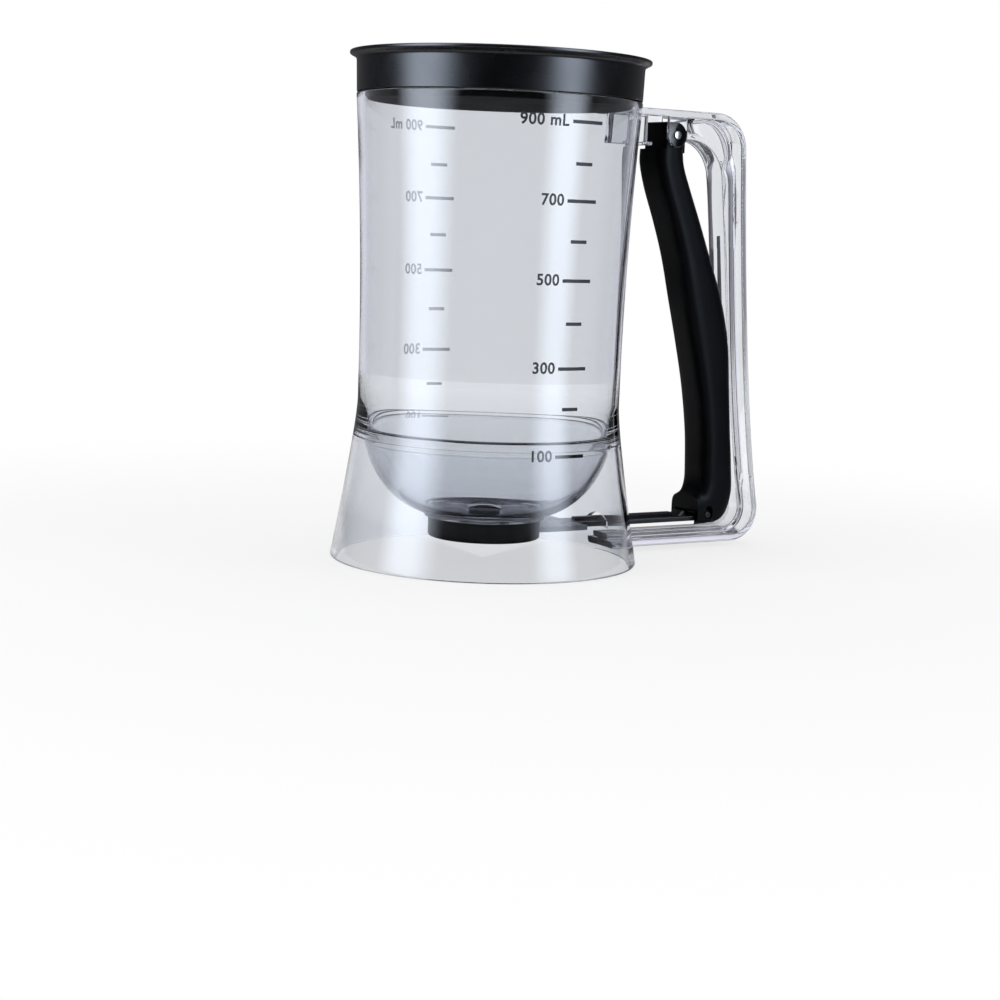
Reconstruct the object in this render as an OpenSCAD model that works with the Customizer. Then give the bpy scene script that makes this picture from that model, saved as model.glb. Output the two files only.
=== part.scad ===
// Hand-held pancake batter dispenser: a clear cup on a flared skirt, a plug lid, and a
// D-handle whose lever pulls a flat gate away from the outlet.
// The object stands on the skirt's rim, with +Z up and the handle along +X. The outlet is
// open and the lever is squeezed, as in use. The origin is the middle of the footprint of
// the whole object, so the cup's axis lies at x = cup_x.

/* [Cup] */
// Height of the cup's rim above the base
rim_z = 166; // [155:0.5:185]
// Outer radius of the cup at its rim
rim_r = 51; // [50:0.5:56]
// Outer radius of the cup at its waist
waist_r = 47.4; // [46.5:0.2:49]
// Height of the waist
waist_z = 72; // [66:1:90]
// Thickness of the clear walls
wall_t = 2.2; // [1.8:0.1:2.6]
// Height of the inner ledge where the hopper bowl begins
shoulder_z = 47; // [46:0.5:50]

/* [Skirt] */
// Outer radius of the skirt at the base
foot_r = 56; // [54:0.5:60]
// Height at which the skirt starts to flare
flare_z = 58; // [54:1:62]

/* [Hopper] */
// Height of the neck flange's underside
neck_z = 15.4; // [15:0.1:16]
// Radius of the neck flange
flange_r = 22; // [21.4:0.1:23]
// Radius of the outlet passage in the neck
neck_bore_r = 6; // [5.6:0.1:6.6]

/* [Valve] */
// Outer radius of the valve cap
cap_r = 20.5; // [19.6:0.1:21]
// Wall thickness of the valve cap
cap_wall = 2.6; // [2.2:0.1:3]
// Height of the cap's floor above the base
cap_z = 8.1; // [7:0.1:8.6]
// Thickness of the cap's floor
cap_floor = 1.9; // [1.4:0.1:2.2]
// Radius of the outlet hole in the cap
outlet_r = 5; // [3.5:0.1:5.4]
// Number of bayonet lugs
lug_count = 3; // [2:1:4]
// Running clearance above and below the gate
gate_gap = 0.3; // [0.2:0.05:0.4]

/* [Gate and slide bar] */
// Thickness of the gate plate and the slide bar
gate_t = 1.8; // [1.4:0.1:2]
// Width of the gate plate
gate_w = 26; // [22:0.5:27]
// Distance from the outlet's axis to the gate's tip when open
gate_open = 8; // [6.5:0.1:9]
// Length of the gate plate
gate_l = 30; // [28:0.5:32]
// Width of the slide bar
bar_w = 12; // [10:0.5:13]

/* [Handle] */
// Distance from the lever's link out to the grip's outer face
grip_past_link = 23.7; // [22.6:0.1:30]
// Distance from the lever's pivot out to the handle's upper corner
top_past_pivot = 33; // [32:0.5:36]
// Radius of the upper outer corner
top_corner_r = 14; // [10:1:18]
// Radius of the lower outer corner
low_corner_r = 12; // [10:1:14]
// Bow of the grip's outer face at its top, from a straight line between the corners, in degrees
bow_top = 2.6; // [1.5:0.1:4]
// Bow of the grip's outer face at its foot, in degrees
bow_low = 5.4; // [3.5:0.1:7]
// Width of the handle's outer band
band_w = 17.4; // [16:0.2:20]
// Thickness of the handle's outer band
band_t = 2.6; // [2:0.1:3.2]
// Width of the handle's inner rib, which faces the lever
rib_w = 10; // [8:0.5:12]
// Thickness of the handle's inner rib
rib_t = 2.2; // [1.8:0.1:2.6]
// Thickness of the arms' web between the band and the rib
web_t = 5; // [3:0.5:8]
// Depth of the top arm from its upper face
arm_depth = 10.4; // [9.8:0.1:11]
// Thickness of each cheek beside the lever's head
cheek_t = 1.5; // [1.2:0.1:1.8]
// Radius of the cheeks round the pivot pin
cheek_r = 4.4; // [3.6:0.1:4.8]
// Height of the bottom arm's lower face above the base
low_arm_z = 2; // [1:0.2:2.4]
// Depth of the bottom arm
low_arm_depth = 5.2; // [4.6:0.1:5.4]

/* [Lever] */
// Distance of the lever's pivot from the cup's axis
pivot_r = 73.5; // [73:0.1:74.5]
// Depth of the lever's pivot below the cup's rim
pivot_drop = 9.3; // [8.8:0.1:10]
// Radius of the pivot pin
pin_r = 1.5; // [1.2:0.1:1.8]
// Radial running clearance between the pin and the lever
pin_gap = 0.08; // [0.04:0.01:0.1]
// Width of the lever's grip
lever_w = 17; // [15:0.5:19]
// Distance of the lever's link from the cup's axis
link_r = 97.5; // [96.5:0.1:98.5]
// Radius of the link's trunnions
trunnion_r = 1.3; // [1:0.1:1.5]
// Free swing of the lever towards the cup, in degrees
lever_swing = 6.35; // [5:0.05:6.5]

/* [Return spring] */
// Wire diameter of the torsion spring
wire_d = 0.8; // [0.6:0.05:0.9]
// Mean radius of the spring's coil
coil_r = 2.5; // [2.2:0.05:2.6]
// Full turns of the spring
coil_turns = 4; // [3:1:5]

/* [Lid] */
// Overhang of the lid's flared edge past the cup's rim
lid_flare = 2.8; // [1.6:0.1:5]
// Height of the lid above the cup's rim
lid_h = 14.4; // [12:0.2:18]
// Depth of the plug inside the cup
plug_depth = 2.5; // [2:0.1:6]
// Wall thickness of the lid
lid_wall = 2; // [1.6:0.1:2.6]
// Clearance between the lid and the cup
lid_gap = 0.3; // [0.2:0.05:0.5]

/* [Hidden] */
$fn = 96;
// A length past every edge of the object, for cuts that run right through
far = 300;

// Colours of the clear mouldings, the black mouldings and the rest
clear_tint = [0.86, 0.88, 0.94, 0.35];
black_tint = [0.07, 0.07, 0.09];
steel_tint = [0.75, 0.76, 0.78];
pale_tint = [0.82, 0.84, 0.87];
seal_tint = [0.93, 0.93, 0.92];

// The grip lies behind the lever's link, and the upper corner behind its pivot
grip_reach = link_r + grip_past_link;
top_reach = pivot_r + top_past_pivot;
pivot_z = rim_z - pivot_drop;
// The footprint is centred on the origin
cup_x = -(grip_reach - foot_r) / 2;
lid_r = rim_r + lid_flare;
cup_in_r = waist_r - wall_t;
// The cup's wall and the skirt meet below the hopper's ledge
ledge_t = 2.5;
wall_split = shoulder_z - ledge_t;
flare_bend = 9.6;
flange_t = 1.2;
// Clearance where the lid and the valve cap seat against the cup
seat_gap = 0.1;

// Heights of the valve's layers, from the cap's floor up
floor_top = cap_z + cap_floor;
gate_z = floor_top + gate_gap;
gate_top = gate_z + gate_t;
seal_z = gate_top + gate_gap;
boss_z = seal_z + 0.2;
seal_t = 2;
seal_r = 11;
seal_gap = 0.2;
boss_r = cap_r - cap_wall - 0.3;
// Bayonet lugs on the neck, and the runs in the cap that turn onto them
lug_reach = 1.2;
lug_t = 1;
lug_sweep = 18;
lug_run = 44;
lug_z = boss_z + 0.3;
lug_first = 60;

// The lock between the gate plate and the slide bar
gate_end = gate_open + gate_l;
lock_x = gate_end - 7;
lock_head = 3;
lock_w = 11;
lock_neck = 6;
lock_gap = 0.15;
bar_rib_w = 3;
bar_rib_h = 1.3;
// The bar's arch in the skirt
arch_w = bar_w + 1.4;
arch_sill = gate_z - 0.7;
arch_top = gate_top + bar_rib_h + 1.4;
arch_curve = 10;
arch_run = 12;

// The handle's corners: arcs joined by leaning curves
top_c = [top_reach - top_corner_r, rim_z - top_corner_r];
low_c = [grip_reach - low_corner_r, low_arm_z + low_corner_r];
// Lean of the grip from upright between its corners, and of its outer face at either end
grip_lean = atan((grip_reach - top_reach) / (top_c[1] - low_c[1]));
lean_top = grip_lean - bow_top;
lean_low = grip_lean + bow_low;
// The round arch inside the upper corner
arch_r = 15;
arch_c = [pivot_r + 9.5, rim_z - arm_depth - arch_r];
arch_lean = grip_lean + 1.9;
grip_depth = 6.6;
inner_corner_r = 7;
inner_c = [grip_reach - grip_depth - inner_corner_r, low_arm_z + low_arm_depth + inner_corner_r];
// Heights where the grip meets the two arms
top_split = 147;
low_split = 25;
// The arms end inside the cup's outer face
arm_root = waist_r - 6;
// Tab in front of the lever's head
tab_x = pivot_r - 7.2;
tab_z = pivot_z - 4.1;
tab_t = 1.5;
tab_w = 12;
// Groove down the grip's inner face
groove_w = 1.6;
groove_t = 3;
groove_low = low_split + 8;
groove_top = top_split - 26;

// The link: a knuckle on the slide bar with trunnions in the lever's foot
link_z = gate_z + 2.3;
knuckle_r = 2.2;
link_gap = 0.45;
foot_back = 5.5;
link_drop = (link_r - pivot_r) * sin(lever_swing) - (pivot_z - link_z) * (1 - cos(lever_swing));
// Top of the fork's mouth, above the bar at the foot's lowest
mouth_top = gate_top + link_drop + 0.35;
fork_w = bar_w + 0.6;

// The lever's head between the cheeks, and its smooth grip
head_w = band_w - 2 * cheek_t - 0.5;
head_r = 4.8;
head_front = 3.9;
shoulder_drop = 5.4;
// The arm's rib starts behind the head, and its web behind the spring's leg
rib_start = pivot_r + head_r + 0.8;
web_start = pivot_r + 11;
ring_n = 20;
ring_steps = 3;
squareness = 3.6;

// The torsion spring's room in the lever's head, and its straight leg
spring_room = wire_d * (coil_turns + 1) + 1.8;
leg_y = -wire_d * (coil_turns + 1) * 0.48;
leg_len = 9;
leg_rise = 21;

// ---------- points along curves ----------

function arc(c, r, from, to, n) =
    [for (i = [0:n]) c + r * [cos(from + (to - from) * i / n), sin(from + (to - from) * i / n)]];

function bez(p, q, s, t) = (1 - t) * (1 - t) * p + 2 * t * (1 - t) * q + t * t * s;

function bez_path(p, q, s, n) = [for (i = [0:n]) bez(p, q, s, i / n)];

function cubic(p, q, s, u, t) =
    pow(1 - t, 3) * p + 3 * t * pow(1 - t, 2) * q + 3 * t * t * (1 - t) * s + pow(t, 3) * u;

function unit(v) = v / norm(v);

// Where the line through p along d meets the line through q along e
function crossing(p, d, q, e) =
    p + d * ((q[0] - p[0]) * e[1] - (q[1] - p[1]) * e[0]) / (d[0] * e[1] - d[1] * e[0]);

// A path shifted to the right of its direction by dist
function shifted(path, dist) =
    [for (i = [0:len(path) - 1])
        let (a = path[max(i - 1, 0)],
             b = path[min(i + 1, len(path) - 1)],
             d = unit(b - a))
        path[i] + dist * [d[1], -d[0]]];

function reversed(path) = [for (i = [len(path) - 1:-1:0]) path[i]];

// ---------- the clear cup ----------

// Outer radius of the cup above its waist
function cup_r(z) =
    waist_r + (rim_r - waist_r) * pow(max(z - waist_z, 0) / (rim_z - waist_z), 1.8);

function cup_path(inset) =
    [for (i = [0:10]) let (z = rim_z - (rim_z - waist_z) * i / 10) [cup_r(z) - inset, z]];

function skirt_path(inset) =
    [for (i = [0:9])
        bez([waist_r, flare_z], [waist_r, flare_z - flare_bend], [foot_r, 0], i / 9) - [inset, 0]];

module at_cup() {
    translate([cup_x, 0, 0])
        children();
}

// The half plane of radii above (side = 1) or below (side = -1) a height
module beyond(z, side) {
    translate([0, side > 0 ? z : z - far])
        square(far);
}

module cup_wall() {
    color(clear_tint)
        at_cup()
            rotate_extrude()
                intersection() {
                    polygon(concat(cup_path(0), skirt_path(0), [[cup_in_r, 0]],
                                   reversed(cup_path(wall_t))));
                    beyond(wall_split, 1);
                }
}

// The bar's way through the skirt: a flat sill, upright sides and a low arch
module bar_arch() {
    intersection() {
        translate([foot_r - arch_run, -arch_w / 2, arch_sill])
            cube([arch_run + 2, arch_w, arch_top - arch_sill]);
        translate([foot_r - arch_run, 0, arch_top - arch_curve])
            rotate([0, 90, 0])
                cylinder(h = arch_run + 2, r = arch_curve);
    }
}

module skirt() {
    color(clear_tint)
        at_cup()
            difference() {
                rotate_extrude()
                    intersection() {
                        polygon(concat(skirt_path(0), reversed(skirt_path(wall_t))));
                        beyond(wall_split, -1);
                    }
                bar_arch();
            }
}

// ---------- the hopper ----------

function bowl_path() =
    bez_path([cup_in_r, wall_split], [cup_in_r - 4.7, wall_split - 22.5],
             [flange_r, neck_z + flange_t], 10);

module hopper_bowl() {
    color(clear_tint)
        at_cup() {
            rotate_extrude()
                polygon(concat([[cup_in_r, shoulder_z]],
                               bowl_path(),
                               [[flange_r, neck_z], [boss_r, neck_z], [boss_r, boss_z],
                                [seal_r + seal_gap, boss_z], [seal_r + seal_gap, seal_z + seal_t],
                                [neck_bore_r, seal_z + seal_t],
                                [neck_bore_r, neck_z + 1], [neck_bore_r + 1.5, neck_z + 1.6]],
                               reversed(shifted(bowl_path(), wall_t)),
                               [[cup_in_r - wall_t, shoulder_z]]));
            for (i = [0:lug_count - 1])
                bayonet_arc(i, boss_r - 0.5, boss_r + lug_reach, lug_z, lug_t, 0, lug_sweep);
        }
}

// One arc of a ring between two radii, starting at the lug's angle plus from
module bayonet_arc(i, r_in, r_out, z, h, from, sweep) {
    rotate([0, 0, lug_first + 360 * i / lug_count + from])
        rotate_extrude(angle = sweep)
            translate([r_in, z])
                square([r_out - r_in, h]);
}

// ---------- the valve ----------

module valve_cap() {
    bore = cap_r - cap_wall;
    top = neck_z - seat_gap;
    pocket = bore + lug_reach + 0.3;
    color(black_tint)
        at_cup()
            difference() {
                rotate_extrude()
                    polygon([[outlet_r, cap_z], [cap_r - 0.8, cap_z], [cap_r, cap_z + 0.8],
                             [cap_r, top - 0.3], [cap_r - 0.3, top], [bore, top],
                             [bore, floor_top], [outlet_r, floor_top]]);
                // The gate's way through the wall
                translate([bore / 2, -gate_w / 2 - 0.3, floor_top])
                    cube([cap_r, gate_w + 0.6, boss_z - floor_top]);
                // The bayonet's runs and their mouths at the top
                for (i = [0:lug_count - 1]) {
                    bayonet_arc(i, bore - 0.5, pocket, lug_z - 0.6, lug_t + 0.9, -3, lug_run);
                    bayonet_arc(i, bore - 0.4, pocket - 0.05, lug_z, 5,
                                lug_run - lug_sweep - 10, lug_sweep + 5);
                }
            }
}

module gate_seal() {
    color(seal_tint)
        at_cup()
            rotate_extrude()
                translate([outlet_r + 0.5, seal_z])
                    square([seal_r - outlet_r - 0.5, seal_t]);
}

// The T-shaped lock that joins the bar to the plate; grow widens it all round
module lock_plan(grow) {
    translate([lock_x - grow, -lock_w / 2 - grow])
        square([lock_head + 2 * grow, lock_w + 2 * grow]);
    translate([lock_x, -lock_neck / 2 - grow])
        square([gate_end - lock_x + 1, lock_neck + 2 * grow]);
}

module gate_plate() {
    color(pale_tint)
        at_cup()
            translate([0, 0, gate_z])
                linear_extrude(gate_t)
                    difference() {
                        union() {
                            translate([gate_open + gate_w / 2, 0])
                                circle(r = gate_w / 2);
                            translate([gate_open + gate_w / 2, -gate_w / 2])
                                square([gate_l - gate_w / 2, gate_w]);
                        }
                        lock_plan(lock_gap);
                    }
}

module slide_bar() {
    start = gate_end + lock_gap;
    color(black_tint)
        at_cup() {
            translate([0, 0, gate_z])
                linear_extrude(gate_t) {
                    lock_plan(0);
                    translate([start, -bar_w / 2])
                        square([link_r - start, bar_w]);
                }
            // Stiffening rib, clear of the lever's foot
            translate([start + 2, -bar_rib_w / 2, gate_top - 0.2])
                cube([link_r - foot_back - 7 - start, bar_rib_w, bar_rib_h + 0.2]);
            // Catch in front of the lever's foot
            translate([link_r - foot_back - 5.5, 0, gate_top - 0.2])
                rotate([90, 0, 0])
                    linear_extrude(bar_w / 2, center = true)
                        polygon([[0, 0], [3.6, 0], [3.6, 2], [2.2, 2]]);
            // Knuckle and trunnions of the link
            translate([link_r, 0, link_z])
                rotate([90, 0, 0]) {
                    cylinder(h = bar_w, r = knuckle_r, center = true);
                    cylinder(h = lever_w - 1, r = trunnion_r, center = true);
                }
        }
}

// ---------- the handle ----------

function grip_top() = top_c + top_corner_r * [cos(lean_top), sin(lean_top)];
function grip_low() = low_c + low_corner_r * [cos(lean_low), sin(lean_low)];

// Where the two leaning lines of the grip's outer face cross
function grip_pull() =
    crossing(grip_top(), [sin(lean_top), -cos(lean_top)],
             grip_low(), [-sin(lean_low), cos(lean_low)]);

function outer_path() =
    concat([[arm_root, rim_z]],
           arc(top_c, top_corner_r, 90, lean_top, 8),
           [for (i = [1:9]) bez(grip_top(), grip_pull(), grip_low(), i / 10)],
           arc(low_c, low_corner_r, lean_low, -90, 8),
           [[arm_root, low_arm_z]]);

function inner_path() =
    let (p = arch_c + arch_r * [cos(arch_lean), sin(arch_lean)],
         q = inner_c + inner_corner_r * [cos(lean_low), sin(lean_low)],
         p_pull = p + 30 * [sin(arch_lean), -cos(arch_lean)],
         q_pull = q + 50 * [-sin(lean_low), cos(lean_low)])
    concat([[arm_root, rim_z - arm_depth]],
           arc(arch_c, arch_r, 90, arch_lean, 8),
           [for (i = [1:9]) cubic(p, p_pull, q_pull, q, i / 10)],
           arc(inner_c, inner_corner_r, lean_low, -90, 6),
           [[arm_root, low_arm_z + low_arm_depth]]);

module band_outline() {
    polygon(concat(outer_path(), reversed(shifted(outer_path(), band_t))));
}

module web_outline() {
    polygon(concat(shifted(outer_path(), band_t), reversed(inner_path())));
}

module rib_outline() {
    polygon(concat(inner_path(), reversed(shifted(inner_path(), -rib_t))));
}

// The handle between two heights: the outer band, the web from web_x on, and the inner rib
// from rib_x on. The section is an I, or a T where the web is as wide as the rib.
module i_section(z0, z1, web = web_t, web_x = 0, rib_x = 0) {
    slab(band_w)
        window(0, z0, z1)
            band_outline();
    slab(web)
        window(web_x, z0, z1)
            web_outline();
    slab(rib_w)
        window(rib_x, z0, z1)
            rib_outline();
}

// Extrudes an outline in the handle's plane to a width centred on that plane
module slab(width) {
    rotate([90, 0, 0])
        linear_extrude(width, center = true)
            children();
}

// The part of an outline between two heights and past one distance from the cup's axis
module window(x0, z0, z1) {
    intersection() {
        children();
        translate([x0, z0])
            square([far, z1 - z0]);
    }
}

// A cheek that hangs from the band and ends round the pin
module cheek_outline() {
    translate([pivot_r, pivot_z])
        circle(r = cheek_r);
    translate([pivot_r - cheek_r, pivot_z])
        square([2 * cheek_r, pivot_drop - band_t / 2]);
}

// Everything inside the cup's outer face, to trim the ends of the arms
module cup_core() {
    rotate_extrude()
        polygon(concat([[0, rim_z + 1], [rim_r, rim_z + 1]], cup_path(0), skirt_path(0),
                       [[foot_r, -1], [0, -1]]));
}

module pin_axis() {
    translate([pivot_r, 0, pivot_z])
        rotate([90, 0, 0])
            children();
}

module handle_top_arm() {
    color(clear_tint)
        at_cup()
            difference() {
                union() {
                    i_section(top_split, far, web_t, web_start, rib_start);
                    for (side = [-1, 1])
                        translate([0, side * (band_w - cheek_t) / 2, 0])
                            slab(cheek_t)
                                cheek_outline();
                    // Tab that hangs in front of the lever's head, its toe and the web to the cup
                    translate([tab_x, -tab_w / 2, tab_z])
                        cube([tab_t, tab_w, rim_z - 1 - tab_z]);
                    translate([tab_x - 2.6, -tab_w / 2, tab_z])
                        cube([2.7, tab_w, tab_t]);
                    translate([arm_root, -web_t / 2, tab_z])
                        cube([tab_x + 0.1 - arm_root, web_t, rim_z - 1 - tab_z]);
                }
                pin_axis()
                    cylinder(h = band_w + 2, r = pin_r, center = true);
                cup_core();
            }
}

module handle_grip() {
    color(clear_tint)
        at_cup()
            difference() {
                i_section(low_split, top_split, rib_w);
                // Narrow groove down the face that the lever closes on
                slab(groove_w)
                    window(0, groove_low, groove_top)
                        polygon(concat(inner_path(), reversed(shifted(inner_path(), -groove_t))));
            }
}

module handle_bottom_arm() {
    color(clear_tint)
        at_cup()
            difference() {
                i_section(-1, low_split);
                cup_core();
            }
}

// ---------- the lever ----------

// Sections down the lever, from its shoulder. Each has a front point and a back point, given
// as a share of the way from pivot to link and a distance from the line between them.
lever_sections = [
    [0.037, -6.4, 0.037, 3.1],
    [0.074, -7.2, 0.081, 1.7],
    [0.137, -6.0, 0.130, 2.7],
    [0.227, -3.1, 0.213, 5.7],
    [0.317, -0.5, 0.315, 10.0],
    [0.430, 1.6, 0.421, 15.9],
    [0.539, 3.1, 0.539, 17.7],
    [0.657, 3.3, 0.657, 16.2],
    [0.775, 2.2, 0.775, 14.6],
    [0.865, 0.7, 0.865, 13.1]];
// Sections of the foot: front and back points from the link
foot_sections = [
    [-2.5, 12.9, 8.3, 7.9],
    [-3.6, 9.0, 3.3, 0.3],
    [-foot_back, 7.4, -foot_back, -2.5]];

function along_lever(share, off) =
    [pivot_r + (link_r - pivot_r) * share + off, pivot_z - (pivot_z - link_z) * share];

function lever_keys() =
    concat([for (s = lever_sections) concat(along_lever(s[0], s[1]), along_lever(s[2], s[3]))],
           [for (s = foot_sections)
               [link_r + s[0], link_z + s[1], link_r + s[2], link_z + s[3]]]);

// A smooth curve through the keys, at t between keys i and i + 1
function through(keys, i, t) =
    let (last = len(keys) - 1,
         a = keys[max(i - 1, 0)],
         b = keys[i],
         c = keys[min(i + 1, last)],
         d = keys[min(i + 2, last)])
    0.5 * (2 * b + (c - a) * t + (2 * a - 5 * b + 4 * c - d) * t * t
           + (3 * b - a - 3 * c + d) * t * t * t);

// One rounded section across the lever, from its front and back points
function lever_ring(s) =
    [for (k = [0:ring_n - 1])
        let (angle = 360 * (k + 0.5) / ring_n,
             u = sign(cos(angle)) * pow(abs(cos(angle)), 2 / squareness),
             v = sign(sin(angle)) * pow(abs(sin(angle)), 2 / squareness))
        [(s[0] + s[2]) / 2 + u * (s[2] - s[0]) / 2,
         v * lever_w / 2,
         (s[1] + s[3]) / 2 + u * (s[3] - s[1]) / 2]];

module skin(rings) {
    n = len(rings[0]);
    last = len(rings) - 1;
    polyhedron(
        points = [for (ring = rings) for (p = ring) p],
        faces = concat(
            [[for (k = [n - 1:-1:0]) k]],
            [for (i = [0:last - 1]) for (k = [0:n - 1])
                let (a = i * n + k, b = i * n + (k + 1) % n) each
                [[a, b, a + n], [b, b + n, a + n]]],
            [[for (k = [0:n - 1]) last * n + k]]));
}

module lever() {
    keys = lever_keys();
    shoulder = pivot_z - shoulder_drop;
    color(black_tint)
        at_cup()
            difference() {
                union() {
                    skin([for (i = [0:len(keys) - 2]) for (j = [0:ring_steps - 1])
                              lever_ring(through(keys, i, j / ring_steps)),
                          lever_ring(keys[len(keys) - 1])]);
                    slab(head_w)
                        polygon(concat([[pivot_r - head_front, shoulder - 1],
                                        [pivot_r - head_front, pivot_z + head_r]],
                                       arc([pivot_r, pivot_z], head_r, 90, 0, 12),
                                       [[pivot_r + head_r, shoulder - 1]]));
                }
                pin_axis()
                    cylinder(h = head_w + 2, r = pin_r + pin_gap, center = true);
                // Room for the spring's coil, open to the top and the back
                pin_axis()
                    cylinder(h = spring_room, r = coil_r + wire_d / 2 + 0.3, center = true);
                translate([pivot_r, -spring_room / 2, pivot_z - 1])
                    cube([head_r + 1, spring_room, head_r + 2]);
                // Channel for the leg that presses on the lever
                translate([pivot_r - coil_r - wire_d / 2 - 0.3, leg_y - 1, pivot_z - leg_len - 0.6])
                    cube([wire_d + 1.7, 2, leg_len + 0.6]);
                // Fork for the slide bar, open below and low at its mouth to the cup
                translate([link_r - foot_back - 1, -fork_w / 2, link_z - 6])
                    cube([foot_back + 1 + knuckle_r + 0.9, fork_w, mouth_top - link_z + 6]);
                translate([link_r - knuckle_r - link_gap, -fork_w / 2, link_z])
                    cube([2 * knuckle_r + link_gap + 0.9, fork_w, knuckle_r + 2.5]);
                // Upright holes for the trunnions, as long as the foot's drop
                for (rise = [0, link_drop])
                    translate([link_r, 0, link_z + rise])
                        rotate([90, 0, 0])
                            cylinder(h = lever_w + 2, r = trunnion_r + link_gap, center = true);
                translate([link_r - trunnion_r - link_gap, -lever_w / 2 - 1, link_z])
                    cube([2 * (trunnion_r + link_gap), lever_w + 2, link_drop]);
            }
}

module pivot_pin() {
    color(steel_tint)
        at_cup()
            pin_axis()
                cylinder(h = band_w, r = pin_r, center = true);
}

// ---------- the return spring ----------

function coil_point(angle, y) =
    [pivot_r + coil_r * cos(angle), y, pivot_z + coil_r * sin(angle)];

function spring_route() =
    let (from = 90 + leg_rise,
         to = 180 + 360 * coil_turns,
         steps = 18 * coil_turns + 4,
         y0 = -leg_y,
         first = coil_point(from, y0),
         final = coil_point(to, leg_y),
         reach = (rim_z - band_t - 0.05 - wire_d / 2 - first[2]) / sin(leg_rise))
    concat([first + reach * [cos(leg_rise), 0, sin(leg_rise)]],
           [for (i = [0:steps])
               coil_point(from + (to - from) * i / steps, y0 + (leg_y - y0) * i / steps)],
           [final - [0, 0, leg_len]]);

function wire_ring(route, i) =
    let (a = route[max(i - 1, 0)],
         b = route[min(i + 1, len(route) - 1)],
         d = unit(b - a),
         side = unit(cross(d, [0, 1, 0])),
         up = cross(side, d))
    [for (k = [0:7])
        route[i] + wire_d / 2 * (cos(45 * k) * side + sin(45 * k) * up)];

module return_spring() {
    route = spring_route();
    color(steel_tint)
        at_cup()
            skin([for (i = [0:len(route) - 1]) wire_ring(route, i)]);
}

// ---------- the lid ----------

module lid() {
    top = rim_z + lid_h;
    plug_r = rim_r - wall_t - lid_gap;
    floor_z = rim_z - plug_depth;
    dish_r = plug_r - lid_wall + 0.4;
    lip_r = 1.5;
    corner_r = 2.6;
    color(black_tint)
        at_cup()
            rotate_extrude()
                polygon(concat(
                    // Underside, plug and the seat on the cup's rim
                    [[0, floor_z], [plug_r - 1.3, floor_z], [plug_r - 0.6, floor_z + 0.5],
                     [plug_r - 0.2, rim_z + seat_gap], [rim_r - 0.1, rim_z + seat_gap]],
                    // Band and flared edge
                    [[rim_r + 0.3, top - 2.4], [lid_r - 0.4, top - 1.1]],
                    arc([lid_r - 0.5, top - 0.5], 0.5, -60, 90, 5),
                    // Rounded lip, the dish's leaning wall and its round corner
                    arc([rim_r - lid_wall + lip_r, top - lip_r], lip_r, 90, 180, 5),
                    arc([dish_r - corner_r, floor_z + lid_wall + corner_r], corner_r, 0, -90, 6),
                    [[0, floor_z + lid_wall]]));
}

cup_wall();
skirt();
hopper_bowl();
handle_top_arm();
handle_grip();
handle_bottom_arm();
valve_cap();
gate_seal();
gate_plate();
slide_bar();
lever();
pivot_pin();
return_spring();
lid();
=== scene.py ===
"""Dresses the batter dispenser's solids as a finished product and sets up its studio."""
import math

import bmesh
import bpy
from bpy.props import FloatProperty, FloatVectorProperty, PointerProperty
from bpy.types import Operator, Panel, PropertyGroup
from mathutils import Matrix, Vector


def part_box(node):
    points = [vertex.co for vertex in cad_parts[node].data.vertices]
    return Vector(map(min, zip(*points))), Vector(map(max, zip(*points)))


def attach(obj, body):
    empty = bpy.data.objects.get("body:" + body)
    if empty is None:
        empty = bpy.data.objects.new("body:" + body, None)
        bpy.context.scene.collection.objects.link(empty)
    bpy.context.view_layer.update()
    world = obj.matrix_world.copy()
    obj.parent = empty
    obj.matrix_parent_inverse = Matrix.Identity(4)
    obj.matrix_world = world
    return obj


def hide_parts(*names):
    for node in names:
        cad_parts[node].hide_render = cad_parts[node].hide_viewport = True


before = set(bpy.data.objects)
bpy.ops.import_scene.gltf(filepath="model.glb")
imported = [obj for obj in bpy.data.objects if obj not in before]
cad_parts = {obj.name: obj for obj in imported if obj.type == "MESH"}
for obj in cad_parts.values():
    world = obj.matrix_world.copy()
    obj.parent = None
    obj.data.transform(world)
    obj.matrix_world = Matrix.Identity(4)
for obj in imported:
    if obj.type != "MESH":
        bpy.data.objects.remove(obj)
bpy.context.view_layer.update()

bl_info = {
    "name": "Batter dispenser",
    "version": (1, 0, 0),
    "blender": (4, 5, 0),
    "location": "View3D > Sidebar > Dispenser",
    "description": "Builds the clear batter dispenser, its lid, lever and valve, and a pale studio",
    "category": "Object",
}

MM = 0.001
CUP_LOW, CUP_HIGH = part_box("cup_wall")
AXIS_X = (CUP_LOW.x + CUP_HIGH.x) / 2  # the cup's axis
RIM_HEIGHT = CUP_HIGH.z
TURN_STEPS = 256  # faces round a turned piece
ROUND_STEPS = 48  # faces round a pin or a bore
ARM_ROOT = 45 * MM  # where the handle's arms start, from the cup's axis
ARM_DEPTH = 10.4 * MM  # height of the handle's upper arm behind the lever's head
BOSS_RADIUS = 17.6 * MM  # the boss under the hopper that the cap turns onto
LUG_ANGLES = (60, 180, 300)  # where the boss's bayonet lugs start, in degrees
LUG_TURN = 18  # degrees from end to end of a lug
GATE_GAP = 0.3 * MM  # room over, under and beside the gate
LOCK_GAP = 0.15 * MM  # room round the lock between gate and bar
LINK_RISE = 2.3 * MM  # the trunnions' centre over the gate's underside
TRUNNION_RADIUS = 1.3 * MM
COIL_HALF = 1.92 * MM  # half the length of the return spring's coil


def length(name, description, default, low=0.0001, high=0.4):
    """A size in metres, as the sidebar shows it."""
    return FloatProperty(name=name, description=description, default=default, min=low,
                         max=high, precision=5, unit="LENGTH", subtype="DISTANCE")


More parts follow.
